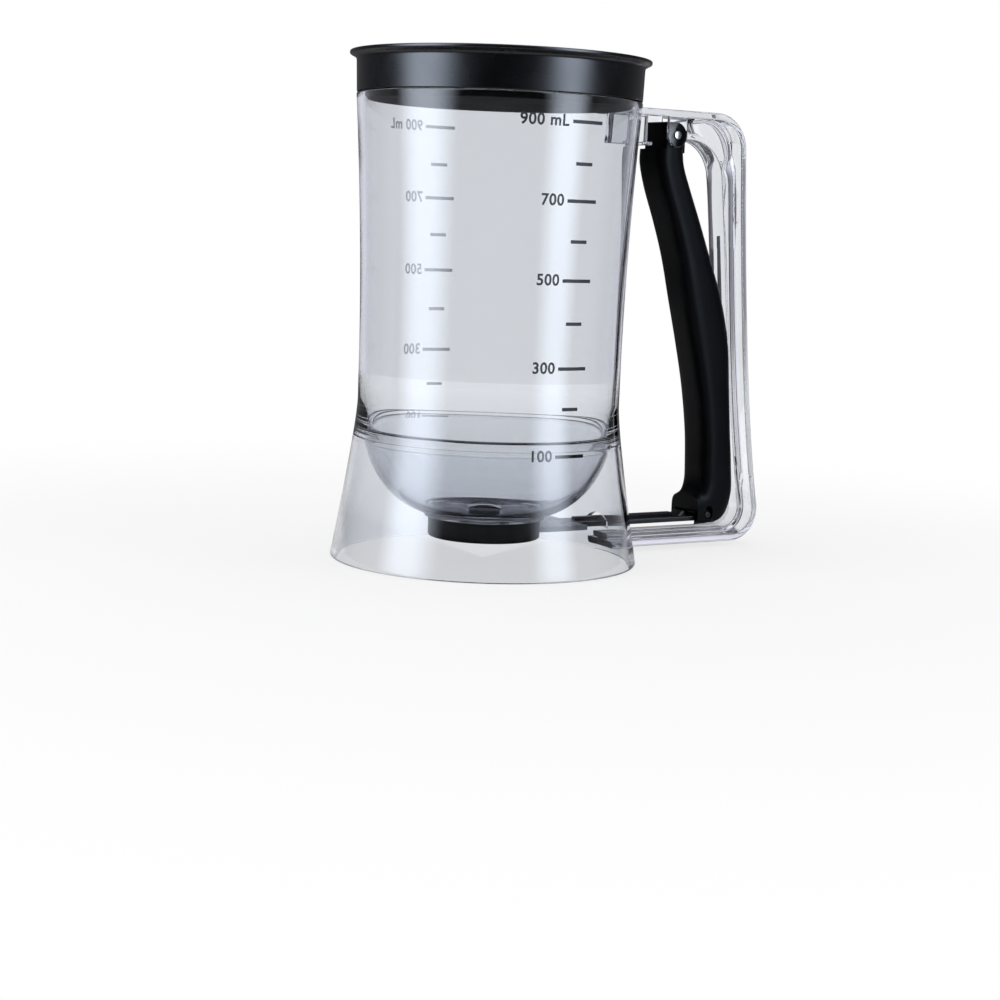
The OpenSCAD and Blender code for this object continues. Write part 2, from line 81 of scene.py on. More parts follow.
def turn_of(name, description, degrees):
    """An angle, given in degrees."""
    return FloatProperty(name=name, description=description, default=math.radians(degrees),
                         subtype="ANGLE")


def power(name, description, default):
    """The power of a lamp."""
    return FloatProperty(name=name, description=description, default=default, min=0.0,
                         unit="POWER")


def tint(name, description, code):
    """A colour from its sRGB hex value."""
    return FloatVectorProperty(name=name, description=description, default=linear(code),
                               min=0.0, max=1.0, size=3, subtype="COLOR")


def linear(code):
    """An sRGB hex colour as linear red, green and blue."""
    parts = [int(code[i:i + 2], 16) / 255 for i in (1, 3, 5)]
    return [c / 12.92 if c <= 0.04045 else ((c + 0.055) / 1.055) ** 2.4 for c in parts]


# ---------- sizes and colours that a user would change ----------


class DispenserCup(PropertyGroup):
    rim_radius: length("Rim radius", "Outer radius of the cup at its rim", 0.051)
    waist_radius: length("Waist radius", "Outer radius of the cup at its waist", 0.0474)
    waist_height: length("Waist height", "Height where the cup is narrowest", 0.072)
    wall: length("Wall", "Thickness of the clear walls", 0.0022)
    shoulder_height: length("Shoulder", "Height of the ledge above the hopper", 0.047)
    foot_radius: length("Foot radius", "Outer radius of the skirt at the base", 0.056)
    flare_height: length("Flare height", "Height where the skirt starts to flare", 0.058)
    flange_radius: length("Flange radius", "Radius of the hopper's neck flange", 0.022)
    neck_height: length("Neck height", "Height of the flange's underside", 0.0154)
    edge: length("Edge radius", "Rounding of the moulded edges", 0.0007)


class DispenserHandle(PropertyGroup):
    pivot_reach: length("Pivot reach", "Distance of the lever's pivot from the cup's axis", 0.0735)
    pivot_drop: length("Pivot drop", "Depth of the pivot below the rim", 0.0093)
    link_reach: length("Link reach", "Distance of the lever's link from the cup's axis", 0.0975)
    band_width: length("Band width", "Width of the handle's outer band", 0.0174)
    band_thickness: length("Band thickness", "Thickness of the outer band", 0.0026)
    rib_width: length("Rib width", "Width of the rib that faces the lever", 0.010)
    rib_thickness: length("Rib thickness", "Thickness of that rib", 0.0022)
    web_thickness: length("Web thickness", "Thickness between band and rib", 0.005)


class DispenserLever(PropertyGroup):
    width: length("Width", "Width of the lever's grip", 0.017)
    head_width: length("Head width", "Width of the head between the cheeks", 0.0139)
    pin_radius: length("Pin radius", "Radius of the pivot pin", 0.0015)


class DispenserValve(PropertyGroup):
    cap_radius: length("Cap radius", "Outer radius of the bayonet cap", 0.0205)
    cap_wall: length("Cap wall", "Thickness of the cap's wall", 0.0026)
    cap_height: length("Cap height", "Height of the cap's underside", 0.0081)
    cap_floor: length("Cap floor", "Thickness of the cap's floor", 0.0019)
    outlet_radius: length("Outlet radius", "Radius of the outlet hole", 0.005)
    gate_width: length("Gate width", "Width of the gate plate", 0.026)
    gate_length: length("Gate length", "Length of the gate plate", 0.030)
    gate_reach: length("Gate reach", "Distance from the outlet's axis to the open gate", 0.008)
    gate_thickness: length("Gate thickness", "Thickness of the gate plate", 0.0018)
    bar_width: length("Bar width", "Width of the slide bar", 0.012)
    lug_reach: length("Lug reach", "Reach of the bayonet lugs", 0.0012)
    wire: length("Wire", "Diameter of the spring's wire", 0.0008)
    coil_radius: length("Coil radius", "Radius of the spring's coil", 0.0025)


class DispenserLid(PropertyGroup):
    height: length("Height", "Height of the lid above the rim", 0.0144)
    flare: length("Flare", "Overhang of the lid's edge past the rim", 0.0028)
    wall: length("Wall", "Thickness of the lid", 0.002)


class DispenserScale(PropertyGroup):
    digit_height: length("Digit height", "Height of the printed numbers", 0.0039)
    stroke: length("Stroke", "Thickness of the printed strokes", 0.0012)
    ink: tint("Ink", "Colour of the printed scale", "#15161A")
    # The print's back colour is painted light: the dark ink painted pale, a painted haze for the
    # reflections of the clear walls in front of it
    ink_back: tint("Ink back", "Colour of the print's back, seen through the wall", "#E7EAEF")


class DispenserColours(PropertyGroup):
    clear: tint("Clear", "Colour of light that passes one clear wall", "#EFF1F4")
    clear_deep: tint("Clear depth", "Colour of light that passes far through the clear resin",
                     "#8F97A8")
    black: tint("Black", "Colour of the black mouldings", "#050609")
    black_shine: tint("Black shine", "Colour of the black mouldings' highlights", "#F9FCFF")
    gate: tint("Gate", "Colour of the gate plate", "#D3D7DC")
    seal: tint("Seal", "Colour of the silicone seal", "#E6E5E0")
    steel: tint("Steel", "Colour of the pin and the spring", "#C9CBCE")


class DispenserStudio(PropertyGroup):
    floor: tint("Floor", "Colour of the floor", "#EDEDEF")
    room: tint("Room", "Colour of the room that gloss mirrors", "#F7F6FF")
    box_light: tint("Box light", "Colour of the boxes that gloss mirrors", "#E5EFFF")
    key_power: power("Key", "Power of the left lamp", 7.0)
    fill_power: power("Fill", "Power of the right lamp", 3.5)
    top_power: power("Top", "Power of the overhead lamp", 5.0)
    left_box: power("Left box", "Power of the left box that gloss mirrors", 17.5)
    right_box: power("Right box", "Power of the right box that gloss mirrors", 11.0)
    top_box: power("Top box", "Power of the overhead box that gloss mirrors", 8.0)
    handle_turn: turn_of("Handle turn", "Angle of the handle behind the picture plane", 32)
    distance: length("Distance", "Distance of the camera from the cup's axis", 0.7446, high=5.0)
    height: length("Height", "Height of the camera above the base", 0.1231, high=5.0)
    pitch: turn_of("Pitch", "How far the camera looks down", 7.77)
    yaw: turn_of("Yaw", "How far the camera looks to its right", 0.43)
    roll: turn_of("Roll", "How far the picture turns clockwise", 2.22)
    lens: FloatProperty(name="Lens", description="Focal length on a 36 mm sensor",
                        default=73.95, subtype="DISTANCE_CAMERA")


SETTINGS = {
    "dispenser_cup": DispenserCup,
    "dispenser_handle": DispenserHandle,
    "dispenser_lever": DispenserLever,
    "dispenser_valve": DispenserValve,
    "dispenser_lid": DispenserLid,
    "dispenser_scale": DispenserScale,
    "dispenser_colours": DispenserColours,
    "dispenser_studio": DispenserStudio,
}


def pivot_point(handle):
    """The lever's pin, as (reach from the cup's axis, height)."""
    return handle.pivot_reach, RIM_HEIGHT - handle.pivot_drop


def gate_low(valve):
    """Height of the gate's underside."""
    return valve.cap_height + valve.cap_floor + GATE_GAP


def gate_end(valve):
    """Distance from the cup's axis to the end of the gate that takes the bar."""
    return valve.gate_reach + valve.gate_length


# ---------- materials ----------


def add_node(tree, kind, settings=None, links=None):
    """Adds a node. Settings go to the input of that name or else to the node itself, and
    links join an input to (node, output)."""
    node = tree.nodes.new(kind)
    for key, value in (settings or {}).items():
        if isinstance(key, int) or key in node.inputs:
            node.inputs[key].default_value = value
        else:
            setattr(node, key, value)
    for key, (other, output) in (links or {}).items():
        tree.links.new(other.outputs[output], node.inputs[key])
    return node


def empty_tree(owner):
    """The node tree of a material, lamp or world, without nodes."""
    owner.use_nodes = True
    owner.node_tree.nodes.clear()
    return owner.node_tree


def start_material(name, settings):
    """An empty material with its output and a Principled shader that has these settings."""
    material = bpy.data.materials.new(name)
    tree = empty_tree(material)
    shader = add_node(tree, "ShaderNodeBsdfPrincipled", settings)
    output = add_node(tree, "ShaderNodeOutputMaterial", links={"Surface": (shader, "BSDF")})
    return material, tree, shader, output


def grain(tree, shader, size_mm, height_mm, detail=2.0, roughness=None):
    """Gives the shader a fine bump of that grain size, and a roughness that varies with it."""
    place = add_node(tree, "ShaderNodeTexCoord")
    noise = add_node(tree, "ShaderNodeTexNoise", {"Scale": 1000 / size_mm, "Detail": detail},
                     {"Vector": (place, "Object")})
    bump = add_node(tree, "ShaderNodeBump", {"Strength": 1.0, "Distance": height_mm * MM},
                    {"Height": (noise, "Fac")})
    tree.links.new(bump.outputs["Normal"], shader.inputs["Normal"])
    if roughness:
        # Broad handling marks, 14 mm across, that change how far a highlight spreads
        swing = 0.04
        smear = add_node(tree, "ShaderNodeTexNoise", {"Scale": 1000 / 14, "Detail": 3.0},
                         {"Vector": (place, "Object")})
        spread = add_node(tree, "ShaderNodeMapRange",
                          {"From Min": 0.3, "From Max": 0.7, "To Min": roughness - swing,
                           "To Max": roughness + swing}, {"Value": (smear, "Fac")})
        tree.links.new(spread.outputs["Result"], shader.inputs["Roughness"])


def clear_resin(colours):
    """Clear styrene-acrylonitrile, polished mould: faint grey-lavender where light has a long
    way to go, bright at grazing edges, and the slight waviness of a moulded wall."""
    material, tree, shader, output = start_material("clear_san_moulded", {
        "Base Color": (*colours.clear, 1), "Roughness": 0.015, "IOR": 1.52,
        "Transmission Weight": 1.0})
    # Mould waviness, 22 mm from crest to crest
    grain(tree, shader, 22, 0.10, detail=0.0)
    depth = add_node(tree, "ShaderNodeVolumeAbsorption",
                     {"Color": (*colours.clear_deep, 1), "Density": 12.0})
    tree.links.new(depth.outputs["Volume"], output.inputs["Volume"])
    return material


def black_abs(colours, name, roughness, gloss, grain_mm, height_mm):
    """Black ABS from a spark-eroded mould: near black with soft bluish-grey highlights. The
    real grain of 0.1 mm is drawn a little coarser so that it shows."""
    material, tree, shader, _ = start_material(name, {
        "Base Color": (*colours.black, 1), "Roughness": roughness, "IOR": 1.5,
        "Specular IOR Level": gloss, "Specular Tint": (*colours.black_shine, 1)})
    grain(tree, shader, grain_mm, height_mm, roughness=roughness)
    return material


def gate_polypropylene(colours):
    """Natural polypropylene, moulded: pale, waxy and a little translucent."""
    material, tree, shader, _ = start_material("polypropylene_moulded", {
        "Base Color": (*colours.gate, 1), "Roughness": 0.42, "IOR": 1.49,
        "Subsurface Weight": 0.15, "Subsurface Scale": 1.2 * MM})
    grain(tree, shader, 0.4, 0.004)
    return material


def seal_silicone(colours):
    """Compression-moulded silicone rubber: milky and matt."""
    material, tree, shader, _ = start_material("silicone_moulded", {
        "Base Color": (*colours.seal, 1), "Roughness": 0.6, "IOR": 1.41})
    grain(tree, shader, 0.3, 0.006)
    return material


def ground_steel(colours):
    """Stainless steel pin, centreless ground: bright, with fine rings across its length."""
    material, tree, shader, _ = start_material("stainless_ground", {
        "Base Color": (*colours.steel, 1), "Metallic": 1.0, "Roughness": 0.22})
    place = add_node(tree, "ShaderNodeTexCoord")
    # Grinding rings, 0.754 mm apart along the pin: a wave node turns 20 radians in a unit of
    # its scale
    rings = add_node(tree, "ShaderNodeTexWave",
                     {"Scale": math.tau * 1000 / 0.754 / 20, "bands_direction": "Y",
                      "Distortion": 1.0}, {"Vector": (place, "Object")})
    bump = add_node(tree, "ShaderNodeBump", {"Strength": 0.4, "Distance": 0.003 * MM},
                    {"Height": (rings, "Fac")})
    tree.links.new(bump.outputs["Normal"], shader.inputs["Normal"])
    return material


def drawn_wire(colours):
    """Spring wire, cold drawn: grey steel with a dull shine."""
    material, tree, shader, _ = start_material("spring_wire_drawn", {
        "Base Color": (*colours.steel, 1), "Metallic": 1.0, "Roughness": 0.34})
    grain(tree, shader, 0.15, 0.002)
    return material


def scale_ink(marks):
    """Pad-printed ink: flat dark grey with slightly uneven cover, its back painted pale as a painted
    haze.
    """
    material, tree, shader, _ = start_material("ink_pad_printed", {
        "Roughness": 0.5, "IOR": 1.48})
    place = add_node(tree, "ShaderNodeTexCoord")
    # Uneven cover, in patches 0.5 mm across
    cover = add_node(tree, "ShaderNodeTexNoise", {"Scale": 1000 / 0.5},
                     {"Vector": (place, "Object")})
    front = add_node(tree, "ShaderNodeMix", {"data_type": "RGBA"}, {"Factor": (cover, "Fac")})
    front.inputs["A"].default_value = (*[c * 0.75 for c in marks.ink], 1)
    front.inputs["B"].default_value = (*[c * 1.35 for c in marks.ink], 1)
    # The back of the print, seen through the wall, is painted pale: a painted haze that stands for the
    # clear walls' reflections over the dark ink. It also lets light through
    side = add_node(tree, "ShaderNodeNewGeometry")
    painted_haze_tone = add_node(tree, "ShaderNodeMix", {"data_type": "RGBA"}, {"Factor": (side, "Backfacing")})
    tree.links.new(front.outputs["Result"], painted_haze_tone.inputs["A"])
    painted_haze_tone.inputs["B"].default_value = (*marks.ink_back, 1)
    tree.links.new(painted_haze_tone.outputs["Result"], shader.inputs["Base Color"])
    film = add_node(tree, "ShaderNodeMapRange", {"To Min": 1.0, "To Max": 0.72},
                    {"Value": (side, "Backfacing")})
    tree.links.new(film.outputs["Result"], shader.inputs["Alpha"])
    return material


# ---------- outlines ----------


def arc(centre, radius, start, end, steps):
    """Points on an arc in the plane, with the angles in degrees."""
    found = []
    for i in range(steps + 1):
        angle = math.radians(start + (end - start) * i / steps)
        found.append((centre[0] + radius * math.cos(angle), centre[1] + radius * math.sin(angle)))
    return found


def circle(centre, radius, steps=ROUND_STEPS):
    """Points round a circle."""
    return arc(centre, radius, 0, 360, steps)[:-1]


def corner(depth, width, radius, start, end):
    """A quarter round in a handle's section, with angles from the depth axis."""
    return arc((depth, width), radius, start, end, 5)


def ring_part(inner, outer, start, turn, steps=12):
    """Outline of part of a ring round the cup's axis, with the angles in degrees."""
    return (arc((0, 0), outer, start, start + turn, steps)
            + arc((0, 0), inner, start + turn, start, steps))


def curve(points, steps):
    """Points on the Bezier curve with these control points, ends included."""
    found = []
    for i in range(steps + 1):
        row, t = [Vector(p) for p in points], i / steps
        while len(row) > 1:
            row = [a.lerp(b, t) for a, b in zip(row, row[1:])]
        found.append(tuple(row[0]))
    return found


def level(start, end, height, steps=12):
    """Points along a level line, without its start."""
    return [(start + (end - start) * k / steps, height) for k in range(1, steps + 1)]


def towards(angle):
    """The direction at an angle in degrees."""
    return Vector((math.cos(math.radians(angle)), math.sin(math.radians(angle))))


def crossing(p, d, q, e):
    """Where the line from p along d meets the line from q along e."""
    return p + d * ((q.x - p.x) * e.y - (q.y - p.y) * e.x) / (d.x * e.y - d.y * e.x)


def shifted(path, distance):
    """A path moved to the right of its direction."""
    moved = []
    for i, p in enumerate(path):
        a, b = Vector(path[max(i - 1, 0)]), Vector(path[min(i + 1, len(path) - 1)])
        d = (b - a).normalized()
        moved.append((p[0] + distance * d.y, p[1] - distance * d.x))
    return moved


def inset(outline, distance):
    """A closed outline moved inwards."""
    if distance <= 0:
        return outline
    closed = outline + outline[:1]
    area = sum(a[0] * b[1] - b[0] * a[1] for a, b in zip(closed, closed[1:]))
    moved, count = [], len(outline)
    for i, p in enumerate(outline):
        here = Vector(p)
        u = (here - Vector(outline[i - 1])).normalized()
        v = (Vector(outline[(i + 1) % count]) - here).normalized()
        n = Vector((-(u + v).y, (u + v).x)).normalized() * math.copysign(1, area)
        moved.append(tuple(here + n * distance / max(0.4, math.cos(u.angle(v) / 2))))
    return moved


def rounded(outline, steps=6):
    """A closed outline of (x, y) and (x, y, radius) points with those corners rounded."""
    found, count = [], len(outline)
    for i, point in enumerate(outline):
        here = Vector(point[:2])
        radius = point[2] if len(point) > 2 else 0
        before, after = Vector(outline[i - 1][:2]), Vector(outline[(i + 1) % count][:2])
        a, b = (before - here).normalized(), (after - here).normalized()
        turn = math.pi - a.angle(b)
        if radius <= 0 or turn < 0.02:
            found.append(tuple(here))
            continue
        back = radius * math.tan(turn / 2)
        back = min(back, (before - here).length * 0.49, (after - here).length * 0.49)
        middle = here + (a + b).normalized() * (back / math.cos(a.angle(b) / 2))
        first, last = here + a * back - middle, here + b * back - middle
        sweep_angle = first.angle_signed(last)
        found += [tuple(middle + Matrix.Rotation(-sweep_angle * k / steps, 2) @ first)
                  for k in range(steps + 1)]
    return found


# ---------- solids and pieces ----------


def upright(u, v, depth):
    """Places an outline in the handle's plane, with depths across it."""
    return AXIS_X + u, depth, v


def flat(u, v, depth):
    """Places an outline in a level plane, with depths upwards."""
    return AXIS_X + u, v, depth


def turned(profile, steps=TURN_STEPS):
    """A solid turned round the cup's axis from a closed profile of (radius, height)."""
    verts, rings = [], []
    for r, z in profile:
        if r < 1e-7:
            rings.append([len(verts)] * steps)
            verts.append((AXIS_X, 0, z))
        else:
            rings.append(range(len(verts), len(verts) + steps))
            verts += [(AXIS_X + r * math.cos(2 * math.pi * k / steps),
                       r * math.sin(2 * math.pi * k / steps), z) for k in range(steps)]
    faces = []
    for one, two in zip(rings, rings[1:] + rings[:1]):
        for k in range(steps):
            face = [one[k], one[(k + 1) % steps], two[(k + 1) % steps], two[k]]
            face = [v for j, v in enumerate(face) if v != face[j - 1]]
            if len(face) > 2:
                faces.append(face)
    return verts, faces


def lofted(rings):
    """A solid through rings of the same number of points, closed with flat ends."""
    count = len(rings[0])
    verts = [p for ring in rings for p in ring]
    faces = [[i * count + k, i * count + (k + 1) % count,
              (i + 1) * count + (k + 1) % count, (i + 1) * count + k]
             for i in range(len(rings) - 1) for k in range(count)]
    faces += [list(range(count))[::-1], [(len(rings) - 1) * count + k for k in range(count)]]
    return verts, faces


def plate(outline, low, high, edge=0.0, steps=3, place=upright):
    """A plate between two depths, with the rims of its outline rounded by edge."""
    turns = [math.pi / 2 * k / steps for k in range(steps + 1)] if edge else [math.pi / 2]
    rim = [(edge * (1 - math.cos(a)), inset(outline, edge * (1 - math.sin(a)))) for a in turns]
    rings = [[place(u, v, low + drop) for u, v in ring] for drop, ring in rim]
    rings += [[place(u, v, high - drop) for u, v in ring] for drop, ring in rim[::-1]]
    return lofted(rings)


def block(xs, ys, zs):
    """A box with these limits, its xs counted from the cup's axis."""
    return plate([(xs[0], zs[0]), (xs[1], zs[0]), (xs[1], zs[1]), (xs[0], zs[1])], *ys)


def sweep(outer, inner, section):
    """A solid that follows the handle between its outer and its inner outline. The section
    gives (depth, half width) points down one side, from the ring's height and depth."""
    rings = []
    for (ox, oz), (ix, iz) in zip(outer, inner):
        out, into = Vector((ox, oz)), Vector((ix, iz))
        reach = (into - out).length
        way = (into - out) / reach
        side = section((oz + iz) / 2, reach)
        rings.append([upright(*(out + way * d), w)
                      for d, w in side + [(d, -w) for d, w in side[::-1]]])
    return lofted(rings)


def new_object(name, data):
    """An object in the scene with this mesh, text, lamp or camera."""
    item = bpy.data.objects.new(name, data)
    bpy.context.scene.collection.objects.link(item)
    return item


def new_piece(name, verts, faces):
    """An object with a mesh of these vertices and faces."""
    mesh = bpy.data.meshes.new(name)
    mesh.from_pydata(verts, [], faces)
    return new_object(name, mesh)


def solid_piece(name, solid):
    """An object from a solid's vertices and faces, its faces turned outwards."""
    piece = new_piece(name, *solid)
    work = bmesh.new()
    work.from_mesh(piece.data)
    bmesh.ops.remove_doubles(work, verts=work.verts, dist=1e-7)
    bmesh.ops.recalc_face_normals(work, faces=work.faces)
    work.to_mesh(piece.data)
    work.free()
    return piece


def combine(piece, other, operation):
    """Joins another piece to a piece or cuts it out, and removes the other."""
    modifier = piece.modifiers.new(operation, "BOOLEAN")
    modifier.operation, modifier.object, modifier.solver = operation, other, "MANIFOLD"
    graph = bpy.context.evaluated_depsgraph_get()
    mesh = bpy.data.meshes.new_from_object(piece.evaluated_get(graph))
    piece.modifiers.clear()
    piece.data = mesh
    bpy.data.objects.remove(other)
    if not mesh.polygons:
        raise RuntimeError(f"{piece.name} came out empty")


def join(piece, solid):
    """Joins a solid to a piece."""
    combine(piece, solid_piece("joined", solid), "UNION")


def cut(piece, solid):
    """Cuts a solid out of a piece."""
    combine(piece, solid_piece("cut", solid), "DIFFERENCE")


def finish_piece(piece, body, material, slot, *nodes, crease=40):
    """Shades a piece smooth up to a crease angle, gives it its material, and fixes it to its
    body in place of the solids it stands for."""
    mesh = piece.data
    mesh.shade_smooth()
    mesh.set_sharp_from_angle(angle=math.radians(crease))
    mesh.materials.clear()
    mesh.materials.append(material)
    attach(piece, body)
    if nodes:
        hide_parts(*nodes)


# ---------- the clear moulding ----------


def cup_radius(cup, z):
    """Outer radius of the cup at a height above its waist."""
    share = max(z - cup.waist_height, 0) / (RIM_HEIGHT - cup.waist_height)
    return cup.waist_radius + (cup.rim_radius - cup.waist_radius) * share ** 1.8


def cup_outside(cup, depth=0.0, steps=28):
    """The cup's outer face from rim to waist, or a path at a depth in its wall."""
    drop = cup.waist_height - RIM_HEIGHT
    heights = [RIM_HEIGHT + drop * i / steps for i in range(steps + 1)]
    return [(cup_radius(cup, z) - depth, z) for z in heights]


def skirt_outside(cup, depth=0.0, steps=24):
    """The skirt's outer face from its flare to the base, or a path at a depth in its wall."""
    bend = (cup.waist_radius, cup.flare_height - 9.6 * MM)
    path = curve([(cup.waist_radius, cup.flare_height), bend, (cup.foot_radius, 0)], steps)
    return [(r - depth, z) for r, z in path]


def cup_profile(cup):
    """The clear cup, hopper and skirt as one turned section."""
    edge, neck, flange = cup.edge, cup.neck_height, cup.flange_radius
    inner_r = cup.waist_radius - cup.wall
    ledge = cup.shoulder_height - 2.5 * MM
    bend = (inner_r - 4.7 * MM, ledge - 22.5 * MM)
    bowl = curve([(inner_r, ledge), bend, (flange, neck + 1.2 * MM)], 24)
    inside = shifted(bowl, cup.wall)
    outer, skirt = cup_outside(cup), skirt_outside(cup)
    skirt_in = [p for p in skirt_outside(cup, cup.wall) if p[1] < ledge - 0.5 * MM]
    # The boss under the flange, the seal's seat in it and the bore above
    boss_low, seat_r, seat_top, bore = 12.6 * MM, 11.2 * MM, 14.4 * MM, 6 * MM
    outline = (
        [(*outer[0], edge)] + outer[1:] + skirt[:-1] + [(*skirt[-1], edge)]
        + [(cup.foot_radius - cup.wall, 0, edge * 0.7)] + skirt_in[::-1][1:]
        + [(skirt_in[0][0] - 0.1 * MM, ledge, 0.5 * MM)] + bowl[1:-1]
        + [(*bowl[-1], 0.8 * MM), (flange, neck, 0.3 * MM), (BOSS_RADIUS, neck, 0.2 * MM),
           (BOSS_RADIUS, boss_low, 0.2 * MM), (seat_r, boss_low), (seat_r, seat_top),
           (bore, seat_top, 0.2 * MM), (bore, neck + 1.0 * MM, 0.3 * MM),
           (bore + 1.5 * MM, neck + 1.6 * MM)]
        + inside[::-1][:-1]
        + [(inner_r - cup.wall, cup.shoulder_height, 1.1 * MM),
           (inner_r, cup.shoulder_height, 0.8 * MM)]
        + cup_outside(cup, cup.wall)[::-1][:-1]
        + [(cup.rim_radius - cup.wall, RIM_HEIGHT, edge)])
    return rounded(outline)


def grip_paths(handle):
    """The handle's outer and inner outline, as the same number of points from arm to arm."""
    top_z, low_z = RIM_HEIGHT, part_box("handle_bottom_arm")[0].z
    top_reach, low_reach = handle.pivot_reach + 33 * MM, handle.link_reach + 23.7 * MM
    start = handle.pivot_reach + 11 * MM
    top_r, low_r, arch_r, corner_r = 14 * MM, 12 * MM, 15 * MM, 7 * MM
    low_arm, low_grip = 5.2 * MM, 6.6 * MM
    top_c = (top_reach - top_r, top_z - top_r)
    low_c = (low_reach - low_r, low_z + low_r)
    arch_c = (handle.pivot_reach + 9.5 * MM, top_z - ARM_DEPTH - arch_r)
    corner_c = (low_reach - low_grip - corner_r, low_z + low_arm + corner_r)
    # The grip leans outwards, steeper at its top than at its foot
    lean = math.degrees(math.atan((low_reach - top_reach) / (top_c[1] - low_c[1])))
    top_lean, arch_lean, low_lean = lean - 2.6, lean + 1.9, lean + 5.4
    top = Vector(top_c) + top_r * towards(top_lean)
    low = Vector(low_c) + low_r * towards(low_lean)
    middle = crossing(top, towards(top_lean - 90), low, towards(low_lean + 90))
    outer = ([(x, top_z) for x in (start, (start + top_c[0]) / 2)]
             + arc(top_c, top_r, 90, top_lean, 20)
             + curve([top, middle, low], 40)[1:-1]
             + arc(low_c, low_r, low_lean, -90, 20) + level(low_c[0], ARM_ROOT, low_z))
    p = Vector(arch_c) + arch_r * towards(arch_lean)
    q = Vector(corner_c) + corner_r * towards(low_lean)
    bends = [p + 30 * MM * towards(arch_lean - 90), q + 50 * MM * towards(low_lean + 90)]
    arch_start = arch_c[1] + math.sqrt(arch_r ** 2 - (start - arch_c[0]) ** 2)
    inner = ([(start, arch_start)] + arc(arch_c, arch_r, 84, arch_lean, 21)
             + curve([p, *bends, q], 40)[1:-1]
             + arc(corner_c, corner_r, low_lean, -90, 20)
             + level(corner_c[0], ARM_ROOT, low_z + low_arm))
    return outer, inner


def easing(value, start, end):
    """0 before start, 1 after end and smooth between them."""
    share = min(max((value - start) / (end - start), 0.0), 1.0)
    return share * share * (3 - 2 * share)


